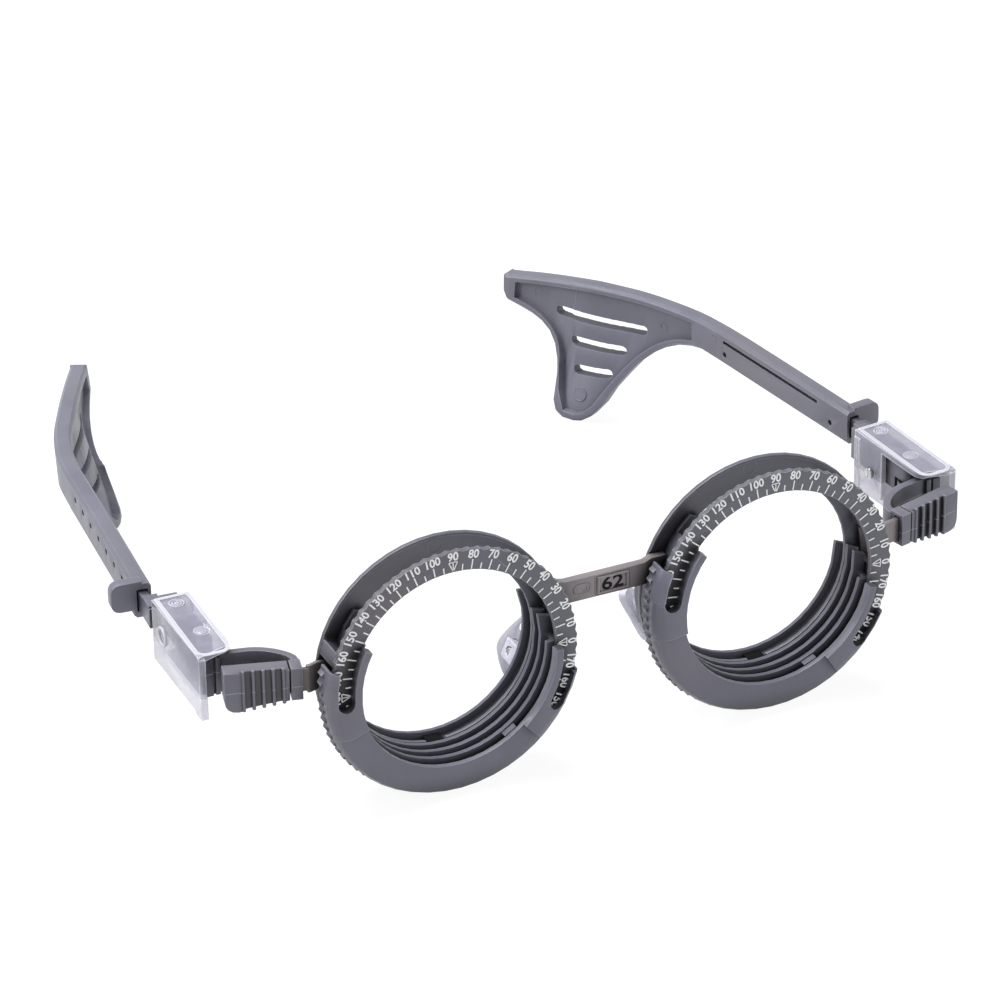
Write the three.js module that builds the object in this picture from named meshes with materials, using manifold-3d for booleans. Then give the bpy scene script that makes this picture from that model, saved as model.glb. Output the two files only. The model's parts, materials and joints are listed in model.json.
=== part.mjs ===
// Optical trial frame: it holds loose round test lenses before the eyes and is worn like spectacles.
// Millimetres. X runs along the front, Y to the back of the head, Z up. The frame stands on the
// lowest points of its two rings and its two ear paddles.
// Each side is drawn as the side where X grows outward, and the other side is its mirror image.

import * as THREE from "three";
import { mergeVertices } from "three/addons/utils/BufferGeometryUtils.js";
import Module from "manifold-3d";

const wasm = await Module();
wasm.setup();

// Driving dimensions

const pupilDistance = 62; // between the two ring centres, as the mark on the bridge says
const gap = 0.3; // running clearance between neighbouring pieces
const overrun = 1; // how far a cutting body reaches past what it cuts

const lens = { radius: 19, seatLip: 0.9 }; // trial lens, and how far each leaf reaches over it

const plate = { outerRadius: 23, thickness: 0.7, rimWidth: 0.6, rimHeight: 0.2 };
const leaf = { thickness: 0.8, pitch: 2.45, count: 3, wall: 1 };
const rearLeaf = { thickness: 0.8, slot: 2.2, outerRadius: 22.2, tipReach: 1.6 };
const post = { width: 2.2 };
const dial = { thickness: 1, setBack: 0.05, band: 4.05, bumpHeight: 0.3, bumps: 72 };
const cap = {
  faceThickness: 0.9,
  step: 1,
  faceInset: 2.1,
  raisedInset: 2.7,
  skin: 0.4,
  edgeDepth: 0.9,
  rimWall: 0.5,
  rimDepth: 4.5,
  outerProngWidth: 1.5,
  innerProngWidth: 1.35,
  toothDepth: 0.4,
  toothLength: 1.6,
};
const spring = { height: 0.7, length: 2.4 };

const bridge = { height: 4.4, thickness: 1.5, centreZ: 6.8, forward: 0.9, jogRun: 1.9 };
const sizeFrame = { width: 6.1, height: 3.4, border: 0.4, relief: 0.3, offset: 1.45 };
const bridgeDimple = { radius: 0.65, offset: -4.1, depth: 0.15 };

const strip = { height: 5.3, thickness: 0.8, centreZ: 1.6, forward: 0.4, jogRun: 1.2 };
const stripBend = { pastRing: 25.1, angle: 14 };
const tongue = { height: 4.4, length: 9.4 };

const clip = { blockStart: 0.9, blockEnd: 2.9, height: 6.2, frontWall: 0.5, thickness: 3.2 };
const lever = {
  length: 11.3,
  ribPitch: 1.75,
  ribWidth: 0.6,
  ribs: 5,
  firstRib: 1,
  tipDrop: 1.3,
  tipRise: 0.4,
  tipRadius: 2.4,
  squeezeRoom: 0.3,
};
const arch = { thickness: 1.3, bottom: 3.4, top: 2.6 };
const knuckle = { inner: 0.4, outer: 2.3, ahead: 6.99, depth: 1.7, bottom: 3.3, top: 4, groove: 0.5 };

const pivot = { outward: 12.6, back: 16.4, pinRadius: 1, eyeRadius: 2.3, tongueTop: 0.6, tongueWidth: 2 };
const housing = {
  inner: 2.9,
  outer: 4,
  front: 8.6,
  rear: 13.6,
  wall: 1.3,
  innerWall: 1,
  innerWallFront: 5,
  bottom: 6,
  top: 5.8,
  plate: 1.2,
  cornerRadius: 2.2,
  frontSlant: 1.6,
  tabDepth: 2.9,
  tabHeight: 4.2,
  tabDrop: 0.5,
  tabForward: 0.4,
  ribs: 3,
  ribSize: 0.3,
};
const screw = {
  shankRadius: 0.5,
  headRadius: 1.05,
  headHeight: 0.6,
  back: 8,
  z: -0.6,
  slot: 0.4,
  biteShare: 0.2,
};

const bar = { width: 3.7, rearWidth: 3.3, rear: 17, bottom: 2, top: 4.2 };
const rod = { thickness: 1.5, height: 3.8, centreZ: 0.6, outward: 4.2, pastBall: 2.78 };
const flange = { width: 2.7, thickness: 0.8, length: 3 };
const detent = { count: 7, pitch: 5.07, first: 4.8, holeRadius: 0.65, ballRadius: 0.55, z: 1.5 };

const sleeve = { width: 3.3, chamfer: 0.55, start: 24.8, lead: 2.4, length: 94, endRoom: 3 };
const sleeveBend = { radius: 63, angle: 20.1, curlRadius: 55 };
const slit = { from: 7, to: 37, height: 0.7 };
const pinHole = { radius: 0.6, from: 2.9, to: 36.5, z: -0.4 };
const thumbTab = { thickness: 2, reach: 4.1, top: 4.4, bottom: 1.2, cornerRadius: 2 };
const paddleRecess = { rim: 1.3, depth: 1.1 };
const paddleSlot = { height: 1.9 };

const pad = { width: 5.4, height: 13, thickness: 1.5, turn: 35, travel: 1 };
const padPlace = { nasal: 8, back: 6.2, top: -2.4, run: 7.2, fall: 15 };
const padSlot = { across: 2.7, down: 7.8, width: 1.9 };
const padHole = { across: 2.2, down: 3.4, width: 1.6, height: 2.4 };
const padArm = { width: 2.8, height: 3.6 };
const padScrew = { shankRadius: 0.6, headRadius: 1.4, headHeight: 0.6, depth: 1.6 };

// Degrees: how far the turning parts of the cap and the leaves reach to each side of its middle
const capReach = { step: 56, window: 74.5, overlap: 1.2, outerProng: 89.5, innerProng: 104, tooth: 4.3 };
const leafReach = { front: 104, rear: 114.5 };
const rearLeafReach = { aboveNasal: 15, belowTemporal: 5 };
const springReach = { from: 267, to: 277 };
const postReach = { nasal: 30, lower: 20, upper: 7 };
const cellTab = { at: 48, reach: 4 };
const recessShares = { from: 0.5, to: 0.97 };

// How the two sides stand in the photograph. Yaws are toe-in about the fold pin, in degrees.
const leftSide = { name: "left", sign: -1, cellMiddle: 256, clipOut: 0, housingYaw: 0.5, rodYaw: 5.2 };
const rightSide = { name: "right", sign: 1, cellMiddle: 246, clipOut: 2.6, housingYaw: 6, rodYaw: 8.6 };
const rodKink = 3.7; // toe-in of the temple against its housing

// Smoothness, as counts of facets
const fine = 48;
const medium = 32;
const small = 8;

// Sizes that follow from the driving dimensions

const half = 0.5;
const seatRadius = lens.radius + gap; // inside radius of every lens slot wall
const leafRadius = lens.radius - lens.seatLip; // inside radius of the leaves
const cellOuter = seatRadius + leaf.wall;
const cellDepth = leaf.pitch * (leaf.count - 1) + leaf.thickness;
const postInner = cellOuter + gap;
const postOuter = postInner + post.width;
const dialInner = seatRadius + dial.setBack;
const dialOuter = dialInner + dial.band;
const capOuter = dialOuter + gap + cap.rimWall; // the cap's rim runs round the dial
const dialBack = -(gap + cellDepth + gap);
const dialFront = dialBack - dial.thickness;
const capBack = dialFront - gap;
const capFace = capBack - cap.faceThickness;
const capFront = capFace - cap.step;
const stripMiddle = -(gap + strip.thickness * half) - strip.forward;
const radians = THREE.MathUtils.degToRad;
const ballAt = detent.first + detent.pitch * (detent.count - 1); // behind the sleeve's zero mark
const rodInside = ballAt + rod.pastBall;
const hollowRear = rodInside + sleeve.endRoom; // the sleeve is straight as far as it is hollow
const drop = capOuter + cap.toothDepth; // the paddles stand as low as the two rings

// Materials: dark grey moulded plastic, warm grey strips, clear plastic and small metal pieces

const grey = new THREE.MeshStandardMaterial({ color: 0x5d6067, roughness: 0.55, metalness: 0 });
const darkGrey = new THREE.MeshStandardMaterial({ color: 0x3d4045, roughness: 0.6, metalness: 0 });
const warmGrey = new THREE.MeshStandardMaterial({ color: 0x7d7876, roughness: 0.45, metalness: 0.2 });
const black = new THREE.MeshStandardMaterial({ color: 0x1d1e20, roughness: 0.6, metalness: 0 });
const steel = new THREE.MeshStandardMaterial({ color: 0xb4b6ba, roughness: 0.35, metalness: 1 });
const clear = new THREE.MeshStandardMaterial({
  color: 0xdde0ee,
  roughness: 0.1,
  metalness: 0,
  transparent: true,
  opacity: 0.4,
});

// Geometry helpers

function signedVolume(geometry) {
  const at = geometry.getAttribute("position");
  const index = geometry.getIndex();
  const corners = [new THREE.Vector3(), new THREE.Vector3(), new THREE.Vector3()];
  let six = 0;
  for (let i = 0; i < index.count; i += 3) {
    corners.forEach((corner, k) => corner.fromBufferAttribute(at, index.getX(i + k)));
    six += corners[0].dot(corners[1].clone().cross(corners[2]));
  }
  return six;
}

function flipped(geometry) {
  const index = geometry.getIndex();
  for (let i = 0; i < index.count; i += 3) {
    const first = index.getX(i);
    index.setX(i, index.getX(i + 1));
    index.setX(i + 1, first);
  }
  return geometry;
}

function welded(geometry) {
  const bare = geometry.clone();
  bare.deleteAttribute("normal");
  bare.deleteAttribute("uv");
  const merged = mergeVertices(bare);
  return signedVolume(merged) < 0 ? flipped(merged) : merged;
}

function solidOf(geometry) {
  const merged = welded(geometry);
  const vertProperties = new Float32Array(merged.getAttribute("position").array);
  const triVerts = new Uint32Array(merged.getIndex().array);
  return new wasm.Manifold(new wasm.Mesh({ numProp: 3, vertProperties, triVerts }));
}

function geometryOf(solid) {
  const mesh = solid.getMesh();
  const geometry = new THREE.BufferGeometry();
  geometry.setAttribute("position", new THREE.BufferAttribute(new Float32Array(mesh.vertProperties), 3));
  geometry.setIndex(new THREE.BufferAttribute(new Uint32Array(mesh.triVerts), 1));
  return geometry;
}

function joined(geometries) {
  return geometryOf(geometries.map(solidOf).reduce((sum, next) => sum.add(next)));
}

function cut(geometry, cutters) {
  return geometryOf(cutters.map(solidOf).reduce((rest, next) => rest.subtract(next), solidOf(geometry)));
}

function box(x0, x1, y0, y1, z0, z1) {
  const geometry = new THREE.BoxGeometry(x1 - x0, y1 - y0, z1 - z0);
  return geometry.translate((x0 + x1) * half, (y0 + y1) * half, (z0 + z1) * half);
}

// A plan outline drawn in X and Y, standing from z0 up to z1
function standing(shape, z0, z1, curveSegments = small) {
  const geometry = new THREE.ExtrudeGeometry(shape, { depth: z1 - z0, bevelEnabled: false, curveSegments });
  return geometry.translate(0, 0, z0);
}

// A front outline drawn in X and Z, reaching from y0 back to y1
function facing(shape, y0, y1, curveSegments = small) {
  const geometry = standing(shape, y0, y1, curveSegments);
  return flippedAxes(geometry);
}

// Turns a body that stands along Z so that it lies along Y, with its Y becoming Z
function flippedAxes(geometry) {
  const at = geometry.getAttribute("position");
  for (let i = 0; i < at.count; i += 1) {
    at.setXYZ(i, at.getX(i), at.getZ(i), at.getY(i));
  }
  return geometry;
}

// An upright pin
function upright(radius, z0, z1, facets = 2 * small) {
  return new THREE.CylinderGeometry(radius, radius, z1 - z0, facets).rotateX(Math.PI * half)
    .translate(0, 0, (z0 + z1) * half);
}

// A pin lying along X
function crosswise(radius, x0, x1, y, z, facets = small) {
  return new THREE.CylinderGeometry(radius, radius, x1 - x0, facets).rotateZ(Math.PI * half)
    .translate((x0 + x1) * half, y, z);
}

function polygon(points) {
  return new THREE.Shape(points.map(([x, y]) => new THREE.Vector2(x, y)));
}

// A full ring about the lens axis, from its section of radius and y
function ring(section, facets = fine) {
  const closedSection = [...section, section[0]].map(([r, y]) => new THREE.Vector2(r, y));
  return new THREE.LatheGeometry(closedSection, facets);
}

// A body through equal rings of points. Its two ends are closed with the flat pattern of the ring.
function loft(rings, pattern) {
  const count = pattern.length;
  const positions = rings.flat().flatMap((point) => point.toArray());
  const triangles = [];
  for (let i = 0; i + 1 < rings.length; i += 1) {
    for (let k = 0; k < count; k += 1) {
      const next = (k + 1) % count;
      const [a, b] = [i * count + k, i * count + next];
      triangles.push(a, b, b + count, a, b + count, a + count);
    }
  }
  const last = (rings.length - 1) * count;
  const contour = pattern.map(([x, y]) => new THREE.Vector2(x, y));
  const sense = Math.sign(THREE.ShapeUtils.area(contour));
  for (const [a, b, c] of THREE.ShapeUtils.triangulateShape(contour, [])) {
    const alike = Math.sign(THREE.ShapeUtils.area([contour[a], contour[b], contour[c]])) === sense;
    const [p, q] = alike ? [b, c] : [c, b];
    triangles.push(a, q, p, last + a, last + p, last + q);
  }
  const geometry = new THREE.BufferGeometry();
  geometry.setAttribute("position", new THREE.Float32BufferAttribute(positions, 3));
  geometry.setIndex(triangles);
  return signedVolume(geometry) < 0 ? flipped(geometry) : geometry;
}

// A point at a radius and an angle on the front, with 0 on +X and 90 straight up
function onRing(radius, angle, y) {
  return new THREE.Vector3(radius * Math.cos(radians(angle)), y, radius * Math.sin(radians(angle)));
}

// An arc of a ring from one angle to another. The reach lets its inner edge run on further than its
// outer edge at both ends, which makes slanted tips. Between its ends it is faceted at the same angles
// as every other arc.
function arcOf(section, from, to, reach = 0) {
  const radii = section.map(([r]) => r);
  const outermost = Math.max(...radii);
  const span = outermost - Math.min(...radii);
  const slant = (r) => THREE.MathUtils.radToDeg(((outermost - r) / span) * (reach / r));
  const step = 360 / fine;
  const rings = [section.map(([r, y]) => onRing(r, from - slant(r), y))];
  for (let angle = Math.ceil(from / step + half) * step; angle < to - step * half; angle += step) {
    rings.push(section.map(([r, y]) => onRing(r, angle, y)));
  }
  rings.push(section.map(([r, y]) => onRing(r, to + slant(r), y)));
  return loft(rings, section);
}

function band(r0, r1, y0, y1) {
  return [[r0, y0], [r1, y0], [r1, y1], [r0, y1]];
}

// Back plate: the flat ring that faces the eye, with a fine raised rim and three posts that carry the dial

function backPlate() {
  const outer = plate.outerRadius;
  const rimTop = -plate.rimHeight;
  const section = [
    [leafRadius, 0],
    [outer - plate.rimWidth, 0],
    [outer - plate.rimWidth, rimTop],
    [outer, rimTop],
    [outer, plate.thickness],
    [leafRadius, plate.thickness],
  ];
  const bridgeBottom = bridge.centreZ - bridge.height * half;
  const stripBottom = strip.centreZ - strip.height * half;
  const stripTop = strip.centreZ + strip.height * half;
  const angleAt = (z, radius) => THREE.MathUtils.radToDeg(Math.asin(z / radius));
  const clearance = 2 * gap;
  const nasalEnd = angleAt(bridgeBottom - clearance, postOuter);
  const lowerEnd = angleAt(stripBottom - clearance, postInner);
  const upperStart = angleAt(stripTop + clearance, postInner);
  const postSection = band(postInner, postOuter, dialBack + gap, plate.thickness * half);
  const posts = [
    arcOf(postSection, 180 - nasalEnd, 180 - nasalEnd + postReach.nasal),
    arcOf(postSection, lowerEnd - postReach.lower, lowerEnd),
    arcOf(postSection, upperStart, upperStart + postReach.upper),
  ];
  const stripRoom = [
    box(-outer - overrun, 0, rimTop - overrun, 0, bridgeBottom - gap, bridgeBottom + bridge.height + gap),
    box(0, outer + overrun, rimTop - overrun, 0, stripBottom - gap, stripTop + gap),
  ];
  const around = THREE.MathUtils.radToDeg(gap / seatRadius);
  const notch = arcOf(band(leafRadius - overrun, seatRadius, -overrun, plate.thickness + overrun),
    springReach.from - around, springReach.to + around);
  return joined([cut(ring(section), [...stripRoom, notch]), ...posts]);
}

// Rear leaf: half ring behind the plate that makes the rear lens slot

function rearLeafRing() {
  const front = plate.thickness + gap;
  const lip = plate.thickness + rearLeaf.slot;
  const back = lip + rearLeaf.thickness;
  const section = [
    [seatRadius, front],
    [rearLeaf.outerRadius, front],
    [rearLeaf.outerRadius, back],
    [leafRadius - gap, back],
    [leafRadius - gap, lip],
    [seatRadius, lip],
  ];
  const from = 180 - rearLeafReach.aboveNasal;
  const to = 360 - rearLeafReach.belowTemporal;
  return arcOf(section, from, to, rearLeaf.tipReach);
}

// Lens spring: the small black tongue in the notch at the bottom of the plate

function lensSpring() {
  const section = band(seatRadius - gap - spring.height, seatRadius - gap, 0, spring.length);
  return arcOf(section, springReach.from, springReach.to);
}

// Dial: the scale ring, one scallop every five degrees

function dialRing() {
  const shape = new THREE.Shape();
  const perBump = 2;
  const steps = dial.bumps * perBump;
  for (let i = 0; i < steps; i += 1) {
    const angle = (2 * Math.PI * i) / steps;
    const lift = Math.abs(Math.sin((Math.PI * i) / perBump));
    const radius = dialOuter - dial.bumpHeight * (1 - lift);
    const [x, z] = [radius * Math.cos(angle), radius * Math.sin(angle)];
    if (i === 0) {
      shape.moveTo(x, z);
    } else {
      shape.lineTo(x, z);
    }
  }
  const hole = new THREE.Path();
  hole.absarc(0, 0, dialInner, 0, 2 * Math.PI, true);
  shape.holes.push(hole);
  return facing(shape, dialFront, dialBack, medium);
}

// Cap: the knurled C that turns over the dial. It is drawn with its middle at angle 0.

function turningCap() {
  const inner = leafRadius + gap;
  const outer = capOuter;
  const windowInner = inner + cap.innerProngWidth;
  const windowOuter = outer - cap.outerProngWidth;
  const rimInner = outer - cap.rimWall;
  const edgeBack = capBack + cap.edgeDepth;
  const outside = [[rimInner, capBack - cap.skin], [outer, edgeBack - cap.skin], [outer, edgeBack]];
  const inside = [[rimInner, edgeBack], [rimInner, capBack]];
  const low = [[inner, capFace], [capOuter - cap.faceInset, capFace], ...outside, ...inside, [inner, capBack]];
  const prongFace = capFront + cap.step * half;
  const high = [
    [inner, capFront],
    [capOuter - cap.raisedInset, capFront],
    [windowOuter, prongFace],
    ...outside,
    ...inside,
    [inner, capBack],
  ];
  const prong = [[windowOuter, prongFace], ...outside, ...inside, [windowOuter, capBack]];
  const parts = [arcOf(low, -capReach.window, capReach.window)];
  for (const side of [-1, 1]) {
    const between = (a, b) => (side > 0 ? [a, b] : [-b, -a]);
    const meet = capReach.window - capReach.overlap;
    parts.push(arcOf(high, ...between(capReach.step, capReach.window)));
    parts.push(arcOf(band(inner, windowInner, capFront, capBack), ...between(meet, capReach.innerProng)));
    parts.push(arcOf(prong, ...between(meet, capReach.outerProng)));
  }
  const rimBack = capFace + cap.rimDepth;
  const rimFront = edgeBack - cap.skin * half;
  parts.push(arcOf(band(rimInner, outer, rimFront, rimBack), -capReach.outerProng, capReach.outerProng));
  const windowMiddle = (windowInner + windowOuter) * half;
  const windowEnds = [-1, 1].map((side) => {
    const centre = onRing(windowMiddle, side * capReach.window, 0);
    const radius = (windowOuter - windowInner) * half;
    const shape = new THREE.Shape().absarc(centre.x, centre.z, radius, 0, 2 * Math.PI);
    return facing(shape, capFront - overrun, capBack + overrun * half, small);
  });
  return cut(joined([...parts, knurl(rimBack)]), windowEnds);
}

// The fine teeth on the rear part of the cap's rim
function knurl(rimBack) {
  const toothPitch = capReach.tooth;
  const teeth = Math.floor((2 * capReach.outerProng) / toothPitch);
  const root = capOuter - cap.rimWall * half;
  const start = -teeth * toothPitch * half;
  const outline = [];
  for (let i = 0; i < teeth; i += 1) {
    const at = start + i * toothPitch;
    outline.push(onRing(capOuter - cap.toothDepth * half, at, 0));
    outline.push(onRing(capOuter + cap.toothDepth, at + toothPitch * half, 0));
  }
  outline.push(onRing(capOuter - cap.toothDepth * half, -start, 0));
  const rootSteps = small;
  for (let i = 0; i <= rootSteps; i += 1) {
    outline.push(onRing(root - cap.toothDepth * half, -start * (1 - (2 * i) / rootSteps), 0));
  }
  return facing(polygon(outline.map((point) => [point.x, point.z])), rimBack - cap.toothLength, rimBack);
}

// Cell: the three half-ring leaves and their wall behind the dial, which turn with the cap.
// Small tabs on its front leaf reach through the dial to the cap.

function turningCell() {
  const front = -(gap + cellDepth);
  const section = [[cellOuter, front]];
  for (let i = 0; i < leaf.count; i += 1) {
    const y = front + i * leaf.pitch;
    const outer = i === 0 ? [] : [[seatRadius, y]];
    section.push(...outer, [leafRadius, y], [leafRadius, y + leaf.thickness]);
    if (i < leaf.count - 1) {
      section.push([seatRadius, y + leaf.thickness]);
    }
  }
  section.push([cellOuter, -gap]);
  const longer = band(leafRadius, cellOuter, front + leaf.pitch, front + leaf.pitch + leaf.thickness);
  const longest = band(leafRadius, cellOuter, -gap - leaf.thickness, -gap);
  const tabBack = front + leaf.thickness * half;
  const tabSection = band(leafRadius + gap, dialInner - gap, capBack + gap, tabBack);
  const tabs = [-1, 1].map((side) => (
    arcOf(tabSection, side * cellTab.at - cellTab.reach, side * cellTab.at + cellTab.reach)
  ));
  const lap = 360 / fine;
  const tips = [longer, longest].flatMap((tip) => [
    arcOf(tip, -leafReach.rear, lap - leafReach.front, leaf.wall),
    arcOf(tip, leafReach.front - lap, leafReach.rear, leaf.wall),
  ]);
  return joined([arcOf(section, -leafReach.front, leafReach.front), ...tips, ...tabs]);
}

// Bridge strip: lies on both plates and steps forward between them, with the frame of the size number

function bridgeStrip() {
  const z0 = bridge.centreZ - bridge.height * half;
  const z1 = z0 + bridge.height;
  const ringX = pupilDistance * half;
  const back = -gap;
  const front = back - bridge.thickness;
  const jogEnd = ringX - Math.sqrt(plate.outerRadius ** 2 - z1 ** 2) - gap;
  const jogStart = jogEnd - bridge.jogRun;
  const rightHalf = [
    [ringX, front],
    [jogEnd, front],
    [jogStart, front - bridge.forward],
  ];
  const rightBack = [
    [jogStart, back - bridge.forward],
    [jogEnd, back],
    [ringX, back],
  ];
  const mirror = (points) => points.map(([x, y]) => [-x, y]).reverse();
  const outline = polygon([...rightHalf, ...mirror(rightHalf), ...mirror(rightBack), ...rightBack]);
  const strap = standing(outline, z0, z1);
  const roundEnds = [-1, 1].map((side) => (
    ring([[0, front - overrun], [cellOuter + gap + gap * half, front - overrun],
      [cellOuter + gap + gap * half, overrun], [0, overrun]]).translate(side * ringX, 0, 0)
  ));
  const face = front - bridge.forward;
  const [fx, fz] = [sizeFrame.offset, bridge.centreZ];
  const [halfWidth, halfHeight] = [sizeFrame.width * half, sizeFrame.height * half];
  const rim = box(fx - halfWidth, fx + halfWidth, face - sizeFrame.relief, face + bridge.thickness * half,
    fz - halfHeight, fz + halfHeight);
  const inset = sizeFrame.border;
  const well = box(fx - halfWidth + inset, fx + halfWidth - inset, face - overrun, face,
    fz - halfHeight + inset, fz + halfHeight - inset);
  const circle = new THREE.Shape().absarc(bridgeDimple.offset, fz, bridgeDimple.radius, 0, 2 * Math.PI);
  const dimple = facing(circle, face - overrun, face + bridgeDimple.depth);
  return cut(joined([cut(strap, roundEnds), rim]), [well, dimple]);
}

// End strip: leaves the plate on the temple side and bends back into the clip

const bendPoint = new THREE.Vector3(pupilDistance * half + stripBend.pastRing, stripMiddle, strip.centreZ);

function endStrip() {
  const ringX = pupilDistance * half;
  const [z0, z1] = [strip.centreZ - strip.height * half, strip.centreZ + strip.height * half];
  const back = -gap;
  const front = back - strip.thickness;
  const jogStart = ringX + plate.outerRadius + gap;
  const jogEnd = jogStart + strip.jogRun;
  const along = new THREE.Vector2(Math.cos(radians(stripBend.angle)), Math.sin(radians(stripBend.angle)));
  const across = new THREE.Vector2(-along.y, along.x).multiplyScalar(strip.thickness * half);
  const bend = new THREE.Vector2(bendPoint.x, bendPoint.y);
  const tip = bend.clone().addScaledVector(along, tongue.length);
  const wide = polygon([
    [ringX, front],
    [jogStart, front],
    [jogEnd, front - strip.forward],
    [bend.x, bend.y - strip.thickness * half],
    [bend.x, bend.y + strip.thickness * half],
    [jogEnd, back - strip.forward],
    [jogStart, back],
    [ringX, back],
  ]);
  const narrow = polygon([
    [jogEnd, front - strip.forward],
    [bend.x, bend.y - strip.thickness * half],
    [tip.x - across.x, tip.y - across.y],
    [tip.x + across.x, tip.y + across.y],
    [bend.x, bend.y + strip.thickness * half],
    [jogEnd, back - strip.forward],
  ]);
  const roundEnd = ring([[0, front - overrun], [cellOuter + gap + gap * half, front - overrun],
    [cellOuter + gap + gap * half, overrun], [0, overrun]]).translate(ringX, 0, 0);
  const tongueBottom = strip.centreZ - tongue.height * half;
  return joined([
    cut(standing(wide, z0, z1), [roundEnd]),
    standing(narrow, tongueBottom, tongueBottom + tongue.height),
  ]);
}

// Clip: a block that slides on the strip's tongue, with a ribbed lever and an arched rear arm.
// Clip pieces are drawn with X along the tongue from the bend, Y back and Z from the strip's middle.

const slotHalf = { thickness: strip.thickness * half + gap, height: tongue.height * half + gap };
const clipFront = -(slotHalf.thickness + lever.squeezeRoom + clip.frontWall);
const clipBack = clipFront + clip.thickness;
const leverStart = clip.blockEnd + gap;

// Turns a point of the front's plan into the clip's own plan
function intoClip(x, y) {
  const angle = radians(-stripBend.angle);
  const [dx, dy] = [x - bendPoint.x, y - bendPoint.y];
  return [dx * Math.cos(angle) - dy * Math.sin(angle), dx * Math.sin(angle) + dy * Math.cos(angle)];
}

function clipLever() {
  const start = leverStart;
  const end = leverStart + lever.length;
  const [low, high] = [-clip.height * half, clip.height * half];
  const side = new THREE.Shape();
  side.moveTo(start, low);
  side.lineTo(end - lever.tipRadius, low - lever.tipDrop);
  side.quadraticCurveTo(end, low - lever.tipDrop, end, low - lever.tipDrop + lever.tipRadius);
  side.lineTo(end, high + lever.tipRise);
  side.lineTo(start, high);
  const body = facing(side, clipFront, clipBack, small * half);
  const pocketBack = clipFront + clip.frontWall + gap * half;
  const pockets = [];
  for (let i = 0; i + 1 < lever.ribs; i += 1) {
    const from = start + lever.firstRib + i * lever.ribPitch + lever.ribWidth * half;
    const to = from + lever.ribPitch - lever.ribWidth;
    pockets.push(box(from, to, clipFront - overrun, pocketBack, low - lever.tipDrop - overrun,
      high + lever.tipRise + overrun));
  }
  const groove = box(start - overrun, tongue.length + gap, clipFront + clip.frontWall,
    slotHalf.thickness, -slotHalf.height, slotHalf.height);
  return cut(body, [...pockets, groove]);
}

// The pivot of the fold, in the clip's plan, when the clip is fully in
const pivotInClip = intoClip(bendPoint.x + pivot.outward, bendPoint.y + pivot.back);

// The arched arm's way from the block to the knuckle, as shares of the pivot's place in the clip's plan
const routeShares = [[0.09, 0.05], [0.12, 0.24], [0.27, 0.43], [0.48, 0.55], [0.72, 0.56], [0.93, 0.55]];

function clipArch() {
  const { blockStart, blockEnd } = clip;
  const block = box(blockStart, blockEnd, clipFront, clipBack, -clip.height * half, clip.height * half);
  const slot = box(blockStart - overrun, blockEnd + overrun, -slotHalf.thickness, slotHalf.thickness,
    -slotHalf.height, slotHalf.height);
  const [px, py] = pivotInClip;
  const knuckleFront = py - knuckle.ahead;
  const route = new THREE.CatmullRomCurve3(routeShares.map(([u, v]) => (
    new THREE.Vector3(u * px, clipBack * half + v * (py - clipBack * half), 0)
  )));
  const samples = route.getSpacedPoints(medium * half);
  const tangents = samples.map((point, i) => route.getTangentAt(i / (samples.length - 1)));
  const edge = (side) => samples.map((point, i) => [
    point.x - side * tangents[i].y * arch.thickness * half,
    point.y + side * tangents[i].x * arch.thickness * half,
  ]);
  const ribbon = standing(polygon([...edge(-1), ...edge(1).reverse()]), -arch.bottom, arch.top);
  const turn = radians(-stripBend.angle);
  const zOf = (z) => z - strip.centreZ;
  const eyeTop = zOf(pivot.tongueTop);
  const eyeBottom = zOf(-knuckle.bottom);
  const local = (geometry) => geometry.rotateZ(turn).translate(px, py, 0);
  const neckFront = knuckleFront - py;
  const knuckleBox = local(box(-knuckle.inner, knuckle.outer, neckFront, neckFront + knuckle.depth,
    zOf(-knuckle.bottom), zOf(knuckle.top)));
  const groove = local(box(knuckle.inner, knuckle.inner + knuckle.groove, neckFront - overrun,
    neckFront + knuckle.groove, zOf(-knuckle.bottom) - overrun, zOf(knuckle.top) + overrun));
  const neckHalf = pivot.tongueWidth * half;
  const neck = local(box(-neckHalf, neckHalf, neckFront + knuckle.depth * half, 0, eyeBottom, eyeTop));
  const eye = local(upright(pivot.eyeRadius, eyeBottom, eyeTop));
  const bore = local(upright(pivot.pinRadius + gap, eyeBottom - overrun, eyeTop + overrun));
  return cut(joined([block, ribbon, knuckleBox, neck, eye]), [slot, groove, bore]);
}

// Hinge pieces are drawn about the fold pin, with X outward, Y back and Z from the ring centres

function hingePin() {
  return upright(pivot.pinRadius, -housing.bottom, housing.top);
}

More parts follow.
